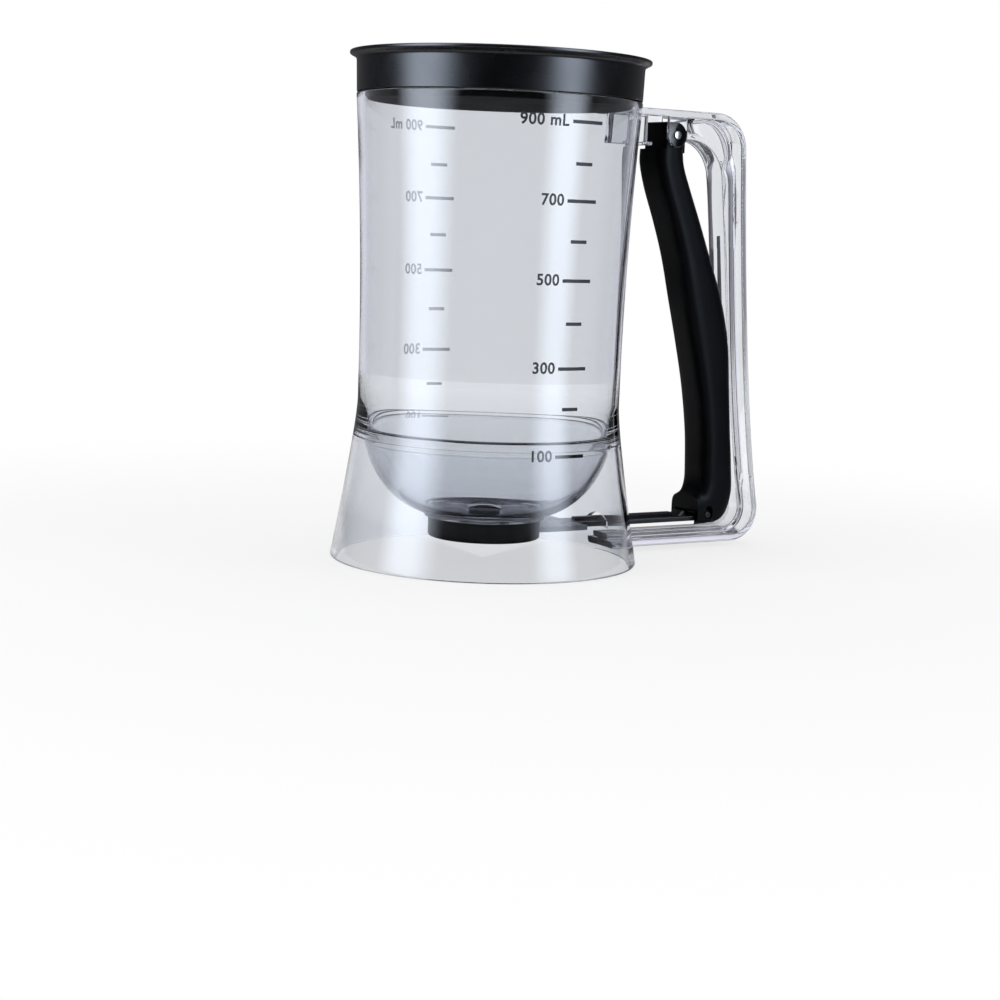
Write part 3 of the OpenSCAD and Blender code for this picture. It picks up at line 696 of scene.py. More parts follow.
class DISPENSER_OT_clear_moulding(Operator):
    """Builds the clear cup, hopper, skirt and handle as one moulding"""
    bl_idname = "dispenser.clear_moulding"
    bl_label = "Clear moulding"

    def execute(self, context):
        scene = context.scene
        cup, valve = scene.dispenser_cup, scene.dispenser_valve
        body = solid_piece("clear_moulding", turned(cup_profile(cup)))
        cut(body, self.bar_way())
        lug_low, lug_top, sunk = 12.9 * MM, 13.9 * MM, 0.5 * MM
        for first in LUG_ANGLES:
            lug = ring_part(BOSS_RADIUS - sunk, BOSS_RADIUS + valve.lug_reach, first, LUG_TURN)
            join(body, plate(lug, lug_low, lug_top, 0.15 * MM, place=flat))
        handle = self.handle(scene.dispenser_handle, scene.dispenser_lever)
        cut(handle, self.core(cup))
        combine(body, handle, "UNION")
        finish_piece(body, "dispenser", clear_resin(scene.dispenser_colours), "clear_plastic",
                     "cup_wall", "skirt", "hopper_bowl", "handle_top_arm", "handle_grip",
                     "handle_bottom_arm", crease=32)
        return {"FINISHED"}

    def bar_way(self):
        """The arched way of the slide bar through the skirt."""
        low, top, half, arch_r = 9.6 * MM, 14.8 * MM, 6.7 * MM, 10 * MM
        crown = [(y, top - arch_r + math.sqrt(arch_r ** 2 - y * y))
                 for y in [half * (1 - 2 * i / 12) for i in range(13)]]
        outline = rounded([(-half, low, 0.5 * MM), (half, low, 0.5 * MM)] + crown)
        return lofted([[(AXIS_X + x, y, z) for y, z in outline] for x in (44 * MM, 60 * MM)])

    def core(self, cup):
        """What lies inside the middle of the cup's wall, where the handle's arms end."""
        depth, past = 1.0 * MM, 2 * MM
        side = cup_outside(cup, depth)[1:] + skirt_outside(cup, depth)[1:]
        return turned([(0, RIM_HEIGHT + past), (cup.rim_radius - depth, RIM_HEIGHT + past)] + side
                      + [(cup.foot_radius - depth, -past), (0, -past)])

    def handle(self, handle, lever):
        """The D-handle: an outer band, the rib that faces the lever with its web, and what
        holds the lever's head."""
        outer, inner = grip_paths(handle)
        half, thick, edge = handle.band_width / 2, handle.band_thickness, 0.8 * MM
        section = (corner(edge, half - edge, edge, 180, 90)
                   + corner(thick - edge * 0.6, half - edge * 0.6, edge * 0.6, 90, 0))
        # The band alone goes on over the lever's head to the cup
        start = outer[0][0]
        band = [(ARM_ROOT + (start - ARM_ROOT) * k / 8, RIM_HEIGHT) for k in range(8)] + outer
        inwards = shifted(band, 10 * MM)  # only its direction counts here
        piece = solid_piece("handle", sweep(band, inwards, lambda height, reach: section))
        self.rib(piece, handle, outer, inner)
        self.mount(piece, handle)
        # Seats for the pivot pin
        bore = circle(pivot_point(handle), lever.pin_radius)
        cut(piece, plate(bore, -half - 1 * MM, half + 1 * MM))
        return piece

    def rib(self, piece, handle, outer, inner):
        """Joins the rib and its web to the band, with a groove down the rib's face."""
        web_half, rib_half = handle.web_thickness / 2, handle.rib_width / 2
        band, rib, soft = handle.band_thickness, handle.rib_thickness, 0.6 * MM

        def section(height, reach):
            # The web is as wide as the rib between the corners, and fillets join it to the band
            fill = (easing(height, 21 * MM, 27 * MM)
                    * (1 - easing(height, 145.5 * MM, 149.5 * MM)))
            web = web_half + (rib_half - web_half) * fill
            cove = min((2.0 - 1.1 * fill) * MM, 0.8 * (reach - band - rib))
            back = corner(reach - rib + soft, rib_half - soft, soft, 180, 90)
            return ([(band - 1.0 * MM, web + cove)]
                    + corner(band + cove, web + cove, cove, 180, 270)
                    + [(d, max(w, web)) for d, w in back]
                    + corner(reach - soft, rib_half - soft, soft, 90, 0))

        join(piece, sweep(outer, inner, section))
        foot, head, grip = 33 * MM, 121 * MM, 90 * MM
        groove = [i for i, (x, z) in enumerate(inner) if foot < z < head and x > grip]
        depth, past, groove_half, bottom = 3 * MM, 1 * MM, 0.8 * MM, 0.4 * MM
        away, front = shifted(inner, -depth), shifted(inner, past)
        cut(piece, sweep([away[i] for i in groove], [front[i] for i in groove],
                         lambda height, reach: corner(bottom, bottom, bottom, 180, 90)
                         + [(1 * MM, groove_half), (reach, groove_half)]))
        # The rib's start behind the lever's head
        low, top = RIM_HEIGHT - ARM_DEPTH, RIM_HEIGHT - ARM_DEPTH + rib
        start, end = outer[0][0] - 5.4 * MM, outer[0][0] + 0.6 * MM
        join(piece, plate(rounded([(start, low, soft), (end, low), (end, top), (start, top, soft)]),
                          -rib_half, rib_half, soft))

    def mount(self, piece, handle):
        """Joins the cheeks round the pivot pin, and the web from the cup with its toe."""
        x, z = pivot_point(handle)
        half, cheek_r, cheek_t = handle.band_width / 2, 4.4 * MM, 1.5 * MM
        top = RIM_HEIGHT - 1.3 * MM
        cheek = rounded([(x - cheek_r, top)] + arc((x, z), cheek_r, 180, 360, 32)
                        + [(x + cheek_r, top)])
        for low, high in ((-half, -half + cheek_t), (half - cheek_t, half)):
            join(piece, plate(cheek, low, high, 0.35 * MM))
        # The web ends in front of the lever's head, and the toe stands across its end
        root, end, low, top = 41.4 * MM, x - 9.5 * MM, z - 4.1 * MM, RIM_HEIGHT - 1 * MM
        web_half, toe_half = handle.web_thickness / 2, 4 * MM
        web = rounded([(root, low), (end, low), (end, top), (root, top)])
        join(piece, plate(web, -web_half, web_half, 0.4 * MM))
        back, front, toe = end - 2.6 * MM, end + 1.2 * MM, low + 1.3 * MM
        foot = rounded([(back, low, 0.3 * MM), (front, low, 0.4 * MM), (front, toe, 0.3 * MM),
                        (back, toe)])
        join(piece, plate(foot, -toe_half, toe_half, 0.3 * MM))


# ---------- the printed scale ----------

# Heights of the strokes in mm, by millilitres
MARKED_HEIGHTS = {100: 42.7, 200: 59.1, 300: 73.1, 400: 88.5, 500: 103.2,
                  600: 116.5, 700: 130.2, 800: 142.7, 900: 156.7}
# Where the strokes and the numbers end, in degrees round the cup from the handle
LONG_STROKE = (-92.4, -77.8)
SHORT_STROKE = (-89.6, -81.4)
LABEL_END = -94


class DISPENSER_OT_scale(Operator):
    """Prints the millilitre scale on both sides of the cup"""
    bl_idname = "dispenser.scale"
    bl_label = "Printed scale"

    def execute(self, context):
        scene = context.scene
        cup, marks = scene.dispenser_cup, scene.dispenser_scale
        ink = scale_ink(marks)
        for name, side in (("scale_front", 1), ("scale_back", -1)):
            prints = []
            for amount, height in MARKED_HEIGHTS.items():
                numbered = amount % 200 == 100
                ends = LONG_STROKE if numbered else SHORT_STROKE
                prints.append(self.stroke(cup, ends, height * MM, marks.stroke, side))
                if numbered:
                    text = f"{amount} mL" if amount == max(MARKED_HEIGHTS) else str(amount)
                    prints.append(self.label(cup, text, height * MM, marks.digit_height, side))
            finish_piece(self.joined(name, prints), "dispenser", ink, "clear_plastic", crease=60)
        return {"FINISHED"}

    def wrap(self, cup, angle, z, side):
        """A point just outside the cup's face, at an angle in degrees from the handle. Side
        is 1 for the front and -1 for the back."""
        r = cup_radius(cup, z) + 0.03 * MM
        a = math.radians(angle)
        return AXIS_X + r * math.cos(a), side * r * math.sin(a), z

    def stroke(self, cup, ends, z, width, side):
        """A level stroke round the cup, as vertices and faces."""
        low, high = ends
        count = 12
        verts = [self.wrap(cup, low + (high - low) * i / count, z + edge * width / 2, side)
                 for i in range(count + 1) for edge in (-1, 1)]
        return verts, [[2 * i, 2 * i + 2, 2 * i + 3, 2 * i + 1] for i in range(count)]

    def label(self, cup, text, z, size, side):
        """Numbers wrapped on the cup, ending beside the scale's strokes."""
        # A digit stands 0.72 of the font's size high
        digit_share, spacing, boldness, lift = 0.72, 1.08, 0.14 * MM, 0.4 * MM
        data = bpy.data.curves.new("label", "FONT")
        data.body, data.size, data.resolution_u = text, size / digit_share, 6
        data.space_character, data.offset = spacing, boldness
        item = new_object("label", data)
        graph = bpy.context.evaluated_depsgraph_get()
        mesh = bpy.data.meshes.new_from_object(item.evaluated_get(graph))
        bpy.data.objects.remove(item)
        work = bmesh.new()
        work.from_mesh(mesh)
        bmesh.ops.triangulate(work, faces=work.faces)
        xs = [v.co.x for v in work.verts]
        verts = []
        for v in work.verts:
            # On the back, the label reads from outside and starts beside the strokes
            along = v.co.x - max(xs) if side > 0 else min(xs) - v.co.x
            angle = LABEL_END + math.degrees(along / cup_radius(cup, z))
            verts.append(self.wrap(cup, angle, z - size / 2 + lift + v.co.y, side))
        faces = [[v.index for v in f.verts] for f in work.faces]
        work.free()
        return verts, faces

    def joined(self, name, prints):
        """One piece from all the prints, its faces turned outwards."""
        verts, faces = [], []
        for some_verts, some_faces in prints:
            faces += [[i + len(verts) for i in face] for face in some_faces]
            verts += some_verts
        piece = new_piece(name, verts, faces)
        work = bmesh.new()
        work.from_mesh(piece.data)
        for face in work.faces:
            face.normal_update()
            middle = face.calc_center_median()
            if face.normal.dot(middle - Vector((AXIS_X, 0, middle.z))) < 0:
                face.normal_flip()
        work.to_mesh(piece.data)
        work.free()
        return piece


# ---------- the lever ----------

# Sections down the lever: front and back point, each as a share of the way from pivot to
# link and a distance in mm from the line between them
LEVER_SECTIONS = [
    (0.036, -7.8, 0.030, 4.0), (0.074, -8.7, 0.076, 3.8), (0.137, -7.7, 0.130, 5.7),
    (0.227, -4.7, 0.213, 9.1), (0.317, -2.4, 0.315, 13.0), (0.430, -1.0, 0.421, 17.0),
    (0.539, 0.6, 0.539, 18.6), (0.657, 2.0, 0.657, 17.3), (0.775, 2.0, 0.775, 16.0),
    (0.865, 0.7, 0.870, 15.2)]
# Sections of the foot: front and back point from the link, in mm
FOOT_SECTIONS = [(-2.5, 12.9, 12.5, 6.6), (-3.6, 9.0, 7.8, -2.6), (-5.5, 7.4, -5.5, -4.4)]


class DISPENSER_OT_lever(Operator):
    """Builds the squeeze lever with its head, fork and pin bore"""
    bl_idname = "dispenser.lever"
    bl_label = "Lever"

    def execute(self, context):
        scene = context.scene
        handle, lever, valve = scene.dispenser_handle, scene.dispenser_lever, scene.dispenser_valve
        pivot = Vector(pivot_point(handle))
        link = Vector((handle.link_reach, gate_low(valve) + LINK_RISE))
        keys = [[*(pivot.lerp(link, a) + Vector((b * MM, 0))),
                 *(pivot.lerp(link, c) + Vector((d * MM, 0)))] for a, b, c, d in LEVER_SECTIONS]
        keys += [[link.x + a * MM, link.y + b * MM, link.x + c * MM, link.y + d * MM]
                 for a, b, c, d in FOOT_SECTIONS]
        steps = 8
        rings = [self.ring(self.through(keys, i, j / steps), lever.width)
                 for i in range(len(keys) - 1) for j in range(steps)]
        rings.append(self.ring(keys[-1], lever.width))
        piece = solid_piece("lever_grip", lofted(rings))
        self.head(piece, pivot, lever)
        self.fork(piece, link, lever.width, valve.bar_width / 2 + 0.3 * MM)
        material = black_abs(scene.dispenser_colours, "abs_textured_lever", roughness=0.40,
                             gloss=0.08, grain_mm=0.35, height_mm=0.004)
        finish_piece(piece, "lever", material, "lever_plastic", "lever", crease=38)
        return {"FINISHED"}

    def through(self, keys, i, t):
        """A smooth curve through the sections, at t between sections i and i + 1."""
        last = len(keys) - 1
        rows = zip(keys[max(i - 1, 0)], keys[i], keys[min(i + 1, last)], keys[min(i + 2, last)])
        return [0.5 * (2 * b + (c - a) * t + (2 * a - 5 * b + 4 * c - d) * t * t
                       + (3 * b - a - 3 * c + d) * t ** 3) for a, b, c, d in rows]

    def ring(self, section, width, count=48, squareness=3.6):
        """One rounded section across the lever."""
        front_x, front_z, back_x, back_z = section
        ring = []
        for k in range(count):
            angle = 2 * math.pi * (k + 0.5) / count
            u, v = [math.copysign(abs(c) ** (2 / squareness), c)
                    for c in (math.cos(angle), math.sin(angle))]
            ring.append((AXIS_X + (front_x + back_x) / 2 + u * (back_x - front_x) / 2,
                         v * width / 2, (front_z + back_z) / 2 + u * (back_z - front_z) / 2))
        return ring

    def head(self, piece, pivot, lever):
        """Joins the head, and cuts the pin's bore and the spring's room into it."""
        half, head_r, front, foot = lever.head_width / 2, 4.8 * MM, 3.9 * MM, 6.4 * MM
        outline = ([(pivot.x - front, pivot.y - foot), (pivot.x - front, pivot.y + head_r)]
                   + arc(pivot, head_r, 90, 0, 16) + [(pivot.x + head_r, pivot.y - foot)])
        join(piece, plate(outline, -half, half, 0.4 * MM))
        cut(piece, plate(circle(pivot, lever.pin_radius + 0.08 * MM), -half - MM, half + MM))
        # Round the coil, and open upwards and backwards for the leg under the band
        room, coil_r, past = 2.9 * MM, 3.2 * MM, 5.8 * MM
        cut(piece, plate(circle(pivot, coil_r), -room, room))
        cut(piece, block((pivot.x - 0.7 * MM, pivot.x + past), (-room, room),
                         (pivot.y - 1 * MM, pivot.y + past)))
        # The slot for the leg that points down
        cut(piece, block((pivot.x - coil_r, pivot.x - 0.7 * MM), (-COIL_HALF - MM, -COIL_HALF + MM),
                         (pivot.y - 9.6 * MM, pivot.y)))

    def fork(self, piece, link, width, half):
        """Cuts the fork's room, low at its mouth, and the slots that ride on the trunnions."""
        mouth, inner, back = link.x - 6.5 * MM, link.x - 2.65 * MM, link.x + 3.1 * MM
        cut(piece, block((mouth, back), (-half, half), (link.y - 6 * MM, link.y + 1.6 * MM)))
        cut(piece, block((inner, back), (-half, half), (link.y, link.y + 4.7 * MM)))
        slot_r, rise = TRUNNION_RADIUS + 0.45 * MM, 1.77 * MM
        slot = arc(link, slot_r, 180, 360, 16) + arc((link.x, link.y + rise), slot_r, 0, 180, 16)
        cut(piece, plate(slot, -width, width))


# ---------- the valve ----------


class DISPENSER_OT_valve(Operator):
    """Builds the bayonet cap, the seal and the sliding gate with its bar"""
    bl_idname = "dispenser.valve"
    bl_label = "Valve"

    def execute(self, context):
        scene = context.scene
        valve, colours = scene.dispenser_valve, scene.dispenser_colours
        seal = gate_low(valve) + valve.gate_thickness + GATE_GAP
        black = black_abs(colours, "abs_satin_valve", roughness=0.34, gloss=0.4, grain_mm=0.35,
                          height_mm=0.004)
        cap = self.cap(valve, seal + 0.2 * MM, scene.dispenser_cup.neck_height - 0.1 * MM)
        finish_piece(cap, "dispenser", black, "black_plastic", "valve_cap")
        bar = self.bar(valve, scene.dispenser_handle.link_reach)
        finish_piece(bar, "slider", black, "black_plastic", "slide_bar")
        finish_piece(self.gate(valve), "slider", gate_polypropylene(colours), "pale_plastic",
                     "gate_plate")
        inner, outer, soft = valve.outlet_radius + 0.5 * MM, 11 * MM, 0.3 * MM
        top = seal + 2 * MM
        ring = solid_piece("gate_seal_ring", turned(rounded(
            [(inner, seal, soft), (outer, seal, soft), (outer, top, soft), (inner, top, soft)])))
        finish_piece(ring, "dispenser", seal_silicone(colours), "seal_silicone", "gate_seal")
        return {"FINISHED"}

    def cap(self, valve, boss, top):
        """The cap: a cup with the outlet in its floor, the gate's way through its wall up to
        the boss, and the runs in which the boss's lugs turn."""
        low, floor = valve.cap_height, valve.cap_height + valve.cap_floor
        radius, bore, outlet = valve.cap_radius, valve.cap_radius - valve.cap_wall, valve.outlet_radius
        soft = 0.3 * MM
        piece = solid_piece("valve_cap_shell", turned(rounded([
            (outlet, low, soft), (radius, low, 0.9 * MM), (radius, top, 0.35 * MM),
            (bore, top, soft), (bore, floor, soft), (outlet, floor, soft)])))
        half = valve.gate_width / 2 + GATE_GAP
        way = [(bore / 2, -half), (2 * radius, -half), (2 * radius, half), (bore / 2, half)]
        cut(piece, plate(way, floor, boss, place=flat))
        pocket = bore + valve.lug_reach + 0.3 * MM
        # Degrees from a lug's start
        run_start, run_turn, mouth_start, mouth_turn = -3, 44, 16, 23
        for first in LUG_ANGLES:
            # A lug comes down through the mouth and turns along the run under it
            run = ring_part(bore - 0.5 * MM, pocket, first + run_start, run_turn)
            cut(piece, plate(run, boss - 0.3 * MM, boss + 1.6 * MM, place=flat))
            mouth = ring_part(bore - 0.4 * MM, pocket - 0.05 * MM, first + mouth_start, mouth_turn)
            cut(piece, plate(mouth, boss + 0.3 * MM, top + 1 * MM, place=flat))
        return piece

    def notch(self, end):
        """The T of the lock, from one side of its neck round to the other."""
        head, neck, front, depth = 5.5 * MM, 3 * MM, end - 7 * MM, 3 * MM
        return [(end, neck), (front + depth, neck), (front + depth, head), (front, head),
                (front, -head), (front + depth, -head), (front + depth, -neck), (end, -neck)]

    def gate(self, valve):
        """The gate plate, round at its tip, with the T-shaped notch that holds the bar."""
        low, half, end = gate_low(valve), valve.gate_width / 2, gate_end(valve)
        # Each corner of the T moves outwards by the gap
        ways = ((0, 1), (1, 1), (1, 1), (-1, 1), (-1, -1), (1, -1), (1, -1), (0, -1))
        notch = [(u + LOCK_GAP * a, v + LOCK_GAP * b) for (u, v), (a, b) in zip(self.notch(end), ways)]
        outline = ([(end, -half, 1 * MM)] + arc((valve.gate_reach + half, 0), half, -90, -270, 48)
                   + [(end, half, 1 * MM)] + notch)
        return solid_piece("gate_plate_blade", plate(
            rounded(outline), low, low + valve.gate_thickness, 0.25 * MM, place=flat))

    def bar(self, valve, link):
        """The slide bar: the lock's T, the flat bar with a rib and a catch, and the knuckle
        with trunnions that the lever's fork takes."""
        low, half, edge = gate_low(valve), valve.bar_width / 2, 0.25 * MM
        top = low + valve.gate_thickness
        start = gate_end(valve) + LOCK_GAP
        lock = self.notch(gate_end(valve))
        lock = [(start, lock[0][1])] + lock[1:-1] + [(start, lock[-1][1])]
        outline = lock + [(start, -half, 0.5 * MM), (link, -half), (link, half),
                          (start, half, 0.5 * MM)]
        piece = solid_piece("slide_bar_moulded", plate(rounded(outline), low, top, edge, place=flat))
        # The rib and the catch stand on the bar, sunk a little into it
        foot, rib_top, catch_top = top - 0.2 * MM, top + 1.3 * MM, top + 1.8 * MM
        rib_start, rib_end, catch = start + 2 * MM, link - 12.5 * MM, link - 11 * MM
        rib = [(rib_start, foot), (rib_end, foot), (rib_end, rib_top, 0.4 * MM),
               (rib_start, rib_top, 0.4 * MM)]
        hook = [(catch, foot), (catch + 3.6 * MM, foot), (catch + 3.6 * MM, catch_top, 0.2 * MM),
                (catch + 2.2 * MM, catch_top, 0.2 * MM)]
        centre = (link, low + LINK_RISE)
        for shape, side, soft in ((rounded(rib), 1.5 * MM, 0.3 * MM),
                                  (rounded(hook), 3 * MM, 0.2 * MM),
                                  (circle(centre, 2.2 * MM), half, edge),
                                  (circle(centre, TRUNNION_RADIUS, 40), 8 * MM, edge)):
            join(piece, plate(shape, -side, side, soft))
        return piece


class DISPENSER_OT_hinge(Operator):
    """Builds the pivot pin and the return spring"""
    bl_idname = "dispenser.hinge"
    bl_label = "Pin and spring"

    def execute(self, context):
        scene = context.scene
        colours, handle, valve = scene.dispenser_colours, scene.dispenser_handle, scene.dispenser_valve
        pivot, half = pivot_point(handle), handle.band_width / 2
        pin_r = scene.dispenser_lever.pin_radius - 0.01 * MM
        pin = solid_piece("pivot_pin_ground", plate(circle(pivot, pin_r), -half, half, 0.25 * MM))
        finish_piece(pin, "dispenser", ground_steel(colours), "pin_steel", "pivot_pin", crease=60)
        route = self.route(valve, pivot, RIM_HEIGHT - handle.band_thickness)
        spring = solid_piece("return_spring_wire", lofted(self.tube(route, valve.wire / 2)))
        finish_piece(spring, "dispenser", drawn_wire(colours), "spring_steel", "return_spring",
                     crease=60)
        return {"FINISHED"}

    def route(self, valve, pivot, ceiling):
        """The spring's wire: a leg under the handle's band, four turns and a leg down."""
        turns, rise, leg, gap = 4, 21, 9 * MM, 0.05 * MM
        first, last = 90 + rise, 180 + 360 * turns
        count = 30 * turns
        coil = [Vector(upright(u, v, COIL_HALF * (1 - 2 * i / count)))
                for i, (u, v) in enumerate(arc(pivot, valve.coil_radius, first, last, count))]
        up = towards(rise)
        reach = (ceiling - gap - valve.wire / 2 - coil[0].z) / up.y
        return [coil[0] + reach * Vector((up.x, 0, up.y))] + coil + [coil[-1] - Vector((0, 0, leg))]

    def tube(self, route, radius):
        """Round sections across a route."""
        rings = []
        for i, here in enumerate(route):
            way = (route[min(i + 1, len(route) - 1)] - route[max(i - 1, 0)]).normalized()
            side = way.cross(Vector((0, 1, 0))).normalized()
            over = side.cross(way)
            rings.append([here + radius * (side * u + over * v) for u, v in circle((0, 0), 1, 12)])
        return rings


# ---------- the lid ----------


class DISPENSER_OT_lid(Operator):
    """Builds the plug lid with its flared edge and dish"""
    bl_idname = "dispenser.lid"
    bl_label = "Lid"

    def execute(self, context):
        scene = context.scene
        cup, lid, colours = scene.dispenser_cup, scene.dispenser_lid, scene.dispenser_colours
        rim, top, floor = cup.rim_radius, RIM_HEIGHT + lid.height, RIM_HEIGHT - 2.5 * MM
        plug = rim - cup.wall - 0.3 * MM
        dish = plug - lid.wall + 0.4 * MM
        edge = rim + lid.flare - 0.1 * MM
        seat = RIM_HEIGHT + 0.1 * MM
        outline = [
            (0, floor), (plug - 1.3 * MM, floor, 0.5 * MM),
            (plug - 0.6 * MM, floor + 0.5 * MM, 0.5 * MM), (plug - 0.2 * MM, seat),
            (rim - 0.1 * MM, seat, 0.35 * MM), (rim + 0.3 * MM, top - 2.4 * MM, 1.6 * MM),
            (edge, top - 1.15 * MM, 0.55 * MM), (edge, top, 0.45 * MM),
            (rim - lid.wall, top, 1.5 * MM), (dish, floor + lid.wall, 2.6 * MM),
            (0, floor + lid.wall)]
        piece = solid_piece("lid_plug", turned(rounded(outline, 8)))
        satin = black_abs(colours, "abs_satin_lid", roughness=0.26, gloss=0.5, grain_mm=0.4,
                          height_mm=0.003)
        finish_piece(piece, "lid", satin, "black_plastic", "lid")
        # The underside and the plug keep the mould's rough texture
        piece.data.materials.append(black_abs(colours, "abs_rough_underside", roughness=0.7,
                                              gloss=0.03, grain_mm=0.5, height_mm=0.02))
        for face in piece.data.polygons:
            reach = math.hypot(face.center.x - AXIS_X, face.center.y)
            hidden = face.normal.z < -0.3 or (face.normal.z < 0.5 and reach > dish)
            if hidden and face.center.z < seat + 0.05 * MM:
                face.material_index = 1
        return {"FINISHED"}


# ---------- the studio ----------


class DISPENSER_OT_studio(Operator):
    """Sets up the pale floor, the soft boxes and the camera"""
    bl_idname = "dispenser.studio"
    bl_label = "Studio"

    def execute(self, context):
        scene = context.scene
        studio = scene.dispenser_studio
        self.world(scene, studio)
        self.floor(studio)
        # Lamps that light the object, and soft boxes that gloss mirrors
        self.lamp(studio, "key_light", studio.key_power, (0.7, 0.9), (-0.92, -0.60, 0.5))
        self.lamp(studio, "fill_light", studio.fill_power, (0.5, 0.9), (1.06, -0.28, 0.45))
        self.lamp(studio, "top_light", studio.top_power, (0.9, 0.7), (0.0, 0.1, 1.15))
        self.soft_box(studio, "left_box", studio.left_box, (0.50, 1.2), (-0.343, -0.220, 0.25))
        self.soft_box(studio, "right_box", studio.right_box, (0.36, 1.2), (0.322, -0.235, 0.25))
        self.soft_box(studio, "top_box", studio.top_box, (1.3, 0.5), (0.0, -0.45, 0.95))
        self.camera(scene, studio)
        scene.view_settings.view_transform = "Standard"
        # Enough bounces for light that crosses many clear walls
        scene.cycles.transmission_bounces = 24
        scene.cycles.max_bounces = 28
        scene.cycles.glossy_bounces = 8
        scene.cycles.transparent_max_bounces = 16
        return {"FINISHED"}

    def seen(self, studio, place):
        """A place or direction in the scene, from what it is as seen from the camera."""
        return Matrix.Rotation(-studio.handle_turn, 3, "Z") @ Vector(place)

    def lamp(self, studio, name, watts, size, place):
        """A rectangular lamp at a place as seen from the camera, which looks at the object and
        which gloss doesn't show."""
        lamp = bpy.data.lights.new(name, "AREA")
        lamp.shape, lamp.size, lamp.size_y, lamp.energy = "RECTANGLE", *size, watts
        item = new_object(name, lamp)
        target = Vector((AXIS_X, 0, 0.09))
        item.location = self.seen(studio, place) + Vector((AXIS_X, 0, 0))
        item.rotation_mode = "QUATERNION"
        item.rotation_quaternion = (target - item.location).to_track_quat("-Z", "Y")
        item.visible_glossy = item.visible_transmission = False
        return item

    def soft_box(self, studio, name, watts, size, place):
        """A box that only gloss sees, bright in the middle and dim towards its edges."""
        item = self.lamp(studio, name, watts, size, place)
        item.visible_camera = item.visible_diffuse = item.visible_volume_scatter = False
        item.visible_glossy = True
        tree = empty_tree(item.data)
        spot = add_node(tree, "ShaderNodeNewGeometry")
        share = add_node(tree, "ShaderNodeSeparateXYZ", links={"Vector": (spot, "Parametric")})
        falls = []
        for axis in ("X", "Y"):
            off = add_node(tree, "ShaderNodeMath", {"operation": "SUBTRACT", 1: 0.5}, {0: (share, axis)})
            away = add_node(tree, "ShaderNodeMath", {"operation": "ABSOLUTE"}, {0: (off, 0)})
            falls.append(add_node(tree, "ShaderNodeMapRange",
                                  {"interpolation_type": "SMOOTHSTEP", "From Min": 0.5,
                                   "From Max": 0.05}, {"Value": (away, 0)}))
        shine = add_node(tree, "ShaderNodeMath", {"operation": "MULTIPLY"},
                         {0: (falls[0], "Result"), 1: (falls[1], "Result")})
        glow = add_node(tree, "ShaderNodeEmission", {"Color": (*studio.box_light, 1)},
                        {"Strength": (shine, 0)})
        add_node(tree, "ShaderNodeOutputLight", links={"Surface": (glow, 0)})

    def room(self, studio, tree, way, path):
        """What gloss shows in a direction beside the soft boxes: a dim room, a little lighter
        behind the object, and lighter again for what the faces inside clear walls mirror."""
        back = add_node(tree, "ShaderNodeVectorMath", {"operation": "DOT_PRODUCT"}, {0: way})
        back.inputs[1].default_value = self.seen(studio, (0, 1, 0))
        shares = []
        for start, end, low, high in ((-0.6, 1.0, 0.02, 0.14), (-0.45, 0.15, 0.02, 0.26),
                                      (0.6, 0.95, 0.0, 0.74)):
            shares.append(add_node(tree, "ShaderNodeMapRange",
                                   {"interpolation_type": "SMOOTHSTEP", "From Min": start,
                                    "From Max": end, "To Min": low, "To Max": high},
                                   {"Value": (back, "Value")}))
        dim, beside, behind = shares
        clear = add_node(tree, "ShaderNodeMath", {"operation": "ADD"}, {0: (beside, 0), 1: (behind, 0)})
        inner = add_node(tree, "ShaderNodeMath", {"operation": "MULTIPLY"},
                         {0: (path, "Is Transmission Ray"), 1: (clear, 0)})
        return add_node(tree, "ShaderNodeMath", {"operation": "ADD"}, {0: (dim, 0), 1: (inner, 0)})

    def straight(self, tree, path):
        """1 for what the eye sees directly or through clear plastic, 0 after a reflection."""
        turns = add_node(tree, "ShaderNodeMath", {"operation": "ADD"},
                         {0: (path, "Glossy Depth"), 1: (path, "Diffuse Depth")})
        first = add_node(tree, "ShaderNodeMath", {"operation": "LESS_THAN", 1: 0.5}, {0: (turns, 0)})
        through = add_node(tree, "ShaderNodeMath", {"operation": "MULTIPLY"},
                           {0: (path, "Is Transmission Ray"), 1: (first, 0)})
        return add_node(tree, "ShaderNodeMath", {"operation": "MAXIMUM"},
                        {0: (path, "Is Camera Ray"), 1: (through, 0)})

    def shown(self, tree, path):
        """1 for what gloss mirrors or clear plastic lets through."""
        return add_node(tree, "ShaderNodeMath", {"operation": "MAXIMUM"},
                        {0: (path, "Is Glossy Ray"), 1: (path, "Is Transmission Ray")})

    def world(self, scene, studio):
        """Plain soft light, with a white background for the eye, and the room for what
        mirrors it."""
        world = bpy.data.worlds.new("studio")
        scene.world = world
        tree = empty_tree(world)
        path = add_node(tree, "ShaderNodeLightPath")
        place = add_node(tree, "ShaderNodeTexCoord")
        room = self.room(studio, tree, (place, "Generated"), path)
        soft = add_node(tree, "ShaderNodeBackground", {"Color": (1, 1, 1, 1), "Strength": 0.35})
        mirror = add_node(tree, "ShaderNodeBackground", {"Color": (*studio.room, 1)},
                          {"Strength": (room, 0)})
        white = add_node(tree, "ShaderNodeBackground", {"Color": (1, 1, 1, 1), "Strength": 1.0})
        first = add_node(tree, "ShaderNodeMixShader",
                         links={0: (self.shown(tree, path), 0), 1: (soft, 0), 2: (mirror, 0)})
        last = add_node(tree, "ShaderNodeMixShader",
                        links={0: (self.straight(tree, path), 0), 1: (first, 0), 2: (white, 0)})
        add_node(tree, "ShaderNodeOutputWorld", links={"Surface": (last, 0)})

